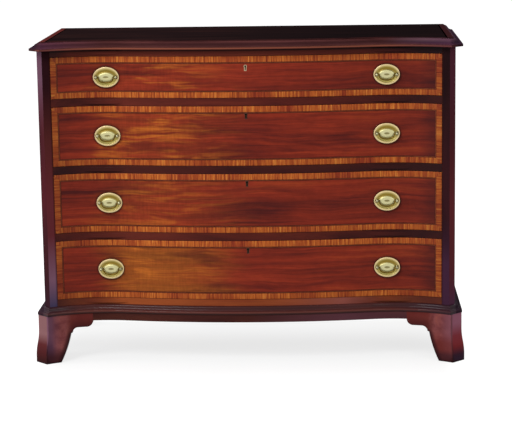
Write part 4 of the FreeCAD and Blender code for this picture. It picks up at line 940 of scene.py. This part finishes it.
def seen_ray(tree):
    """1 for rays from the camera and for reflected or transmitted ones."""
    path = tree.nodes.new("ShaderNodeLightPath")
    total = path.outputs["Is Camera Ray"]
    for name in ("Is Glossy Ray", "Is Transmission Ray"):
        higher = tree.nodes.new("ShaderNodeMath")
        higher.operation = "MAXIMUM"
        tree.links.new(total, higher.inputs[0])
        tree.links.new(path.outputs[name], higher.inputs[1])
        total = higher.outputs[0]
    return total


WHITE = (1.0, 1.0, 1.0, 1.0)
AMBIENT = 0.3

world = bpy.data.worlds.new("studio")
world.use_nodes = True
bpy.context.scene.world = world
background = world.node_tree.nodes["Background"]
level = world.node_tree.nodes.new("ShaderNodeMapRange")
level.inputs["To Min"].default_value = AMBIENT
level.inputs["To Max"].default_value = 1.0
world.node_tree.links.new(seen_ray(world.node_tree), level.inputs["Value"])
world.node_tree.links.new(level.outputs["Result"], background.inputs["Strength"])
background.inputs["Color"].default_value = WHITE

# Floor: its glow is lowered under the chest as a painted shadow over the real one, and rises to white before,
# beside and far behind it

FLOOR_SIZE = 60.0
FLOOR_ALBEDO = 0.2
PAINTED_SHADOW_GLOW = 0.775
REAR_GLOW = 0.5
BEFORE = (-0.3, -0.9)
BESIDE = (0.54, 0.66)
BEHIND = (-0.06, 0.2)
FAR_BEHIND = (0.5, 1.4)

floor_shader = Shader("studio_floor")
speckle = floor_shader.noise(floor_shader.place((3.0, 3.0, 3.0)), detail=3.0)
floor_shade, floor_light = [(value, value, value, 1.0) for value in (FLOOR_ALBEDO - 0.01, FLOOR_ALBEDO)]
floor_colour = floor_shader.ramp(speckle, [(0.3, floor_shade), (0.7, floor_light)])
depth = floor_shader.coordinate("Y")
spread = floor_shader.smooth(depth, *BEFORE)
for share in (floor_shader.times(floor_shader.smooth(depth, *BEHIND), REAR_GLOW),
              floor_shader.smooth(floor_shader.distance("X"), *BESIDE),
              floor_shader.smooth(depth, *FAR_BEHIND)):
    spread = floor_shader.math("MAXIMUM", spread, share)
glow = floor_shader.times(seen_ray(floor_shader.tree), floor_shader.shifted(spread, PAINTED_SHADOW_GLOW, 1.0))
floor_material = floor_shader.finish({"Base Color": floor_colour, "Roughness": 1.0, "Specular IOR Level": 0.0,
                                      "Emission Color": WHITE, "Emission Strength": glow})
half_floor = FLOOR_SIZE / 2
floor_corners = [(-half_floor, -half_floor, 0), (half_floor, -half_floor, 0), (half_floor, half_floor, 0),
                 (-half_floor, half_floor, 0)]
floor = mesh_piece("floor", floor_corners, [(0, 1, 2, 3)], [floor_material], smooth=False)
floor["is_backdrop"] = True

# Lights: place, target, size and power in watts

MIDDLE = (0.0, -0.1, 0.5)
area_light("key", (-2.0, -3.0, 3.9), MIDDLE, (2.0, 2.0), 152)
area_light("fill", (3.2, -3.8, 2.4), MIDDLE, (2.0, 2.0), 53)
area_light("side", (-3.2, -0.7, 0.9), (-0.6, -0.2, 0.4), (0.8, 1.8), 48)
area_light("overhead", (0.0, 0.3, 3.4), (0.0, -0.1, 0.0), (1.6, 1.2), 90)

# Camera, turned by its yaw and pitch and then by its roll

level_forward = Vector((math.sin(CAMERA_YAW), math.cos(CAMERA_YAW), 0.0))
forward = level_forward * math.cos(CAMERA_PITCH) + Vector((0.0, 0.0, math.sin(CAMERA_PITCH)))
level_right = Vector((math.cos(CAMERA_YAW), -math.sin(CAMERA_YAW), 0.0))
level_up = level_right.cross(forward)
right = level_right * math.cos(CAMERA_ROLL) + level_up * math.sin(CAMERA_ROLL)
up = level_up * math.cos(CAMERA_ROLL) - level_right * math.sin(CAMERA_ROLL)
camera_data = bpy.data.cameras.new("camera")
camera_data.sensor_fit = "HORIZONTAL"
camera_data.sensor_width = SENSOR_WIDTH
camera_data.lens = FOCAL_PIXELS / IMAGE_WIDTH * SENSOR_WIDTH
camera_data.clip_end = 100.0
camera = bpy.data.objects.new("camera", camera_data)
turn = Matrix((right, up, -forward)).transposed().to_4x4()
camera.matrix_world = Matrix.Translation(CAMERA_PLACE) @ turn
bpy.context.scene.collection.objects.link(camera)
bpy.context.scene.camera = camera
bpy.context.scene.view_settings.view_transform = "Standard"

low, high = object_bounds()
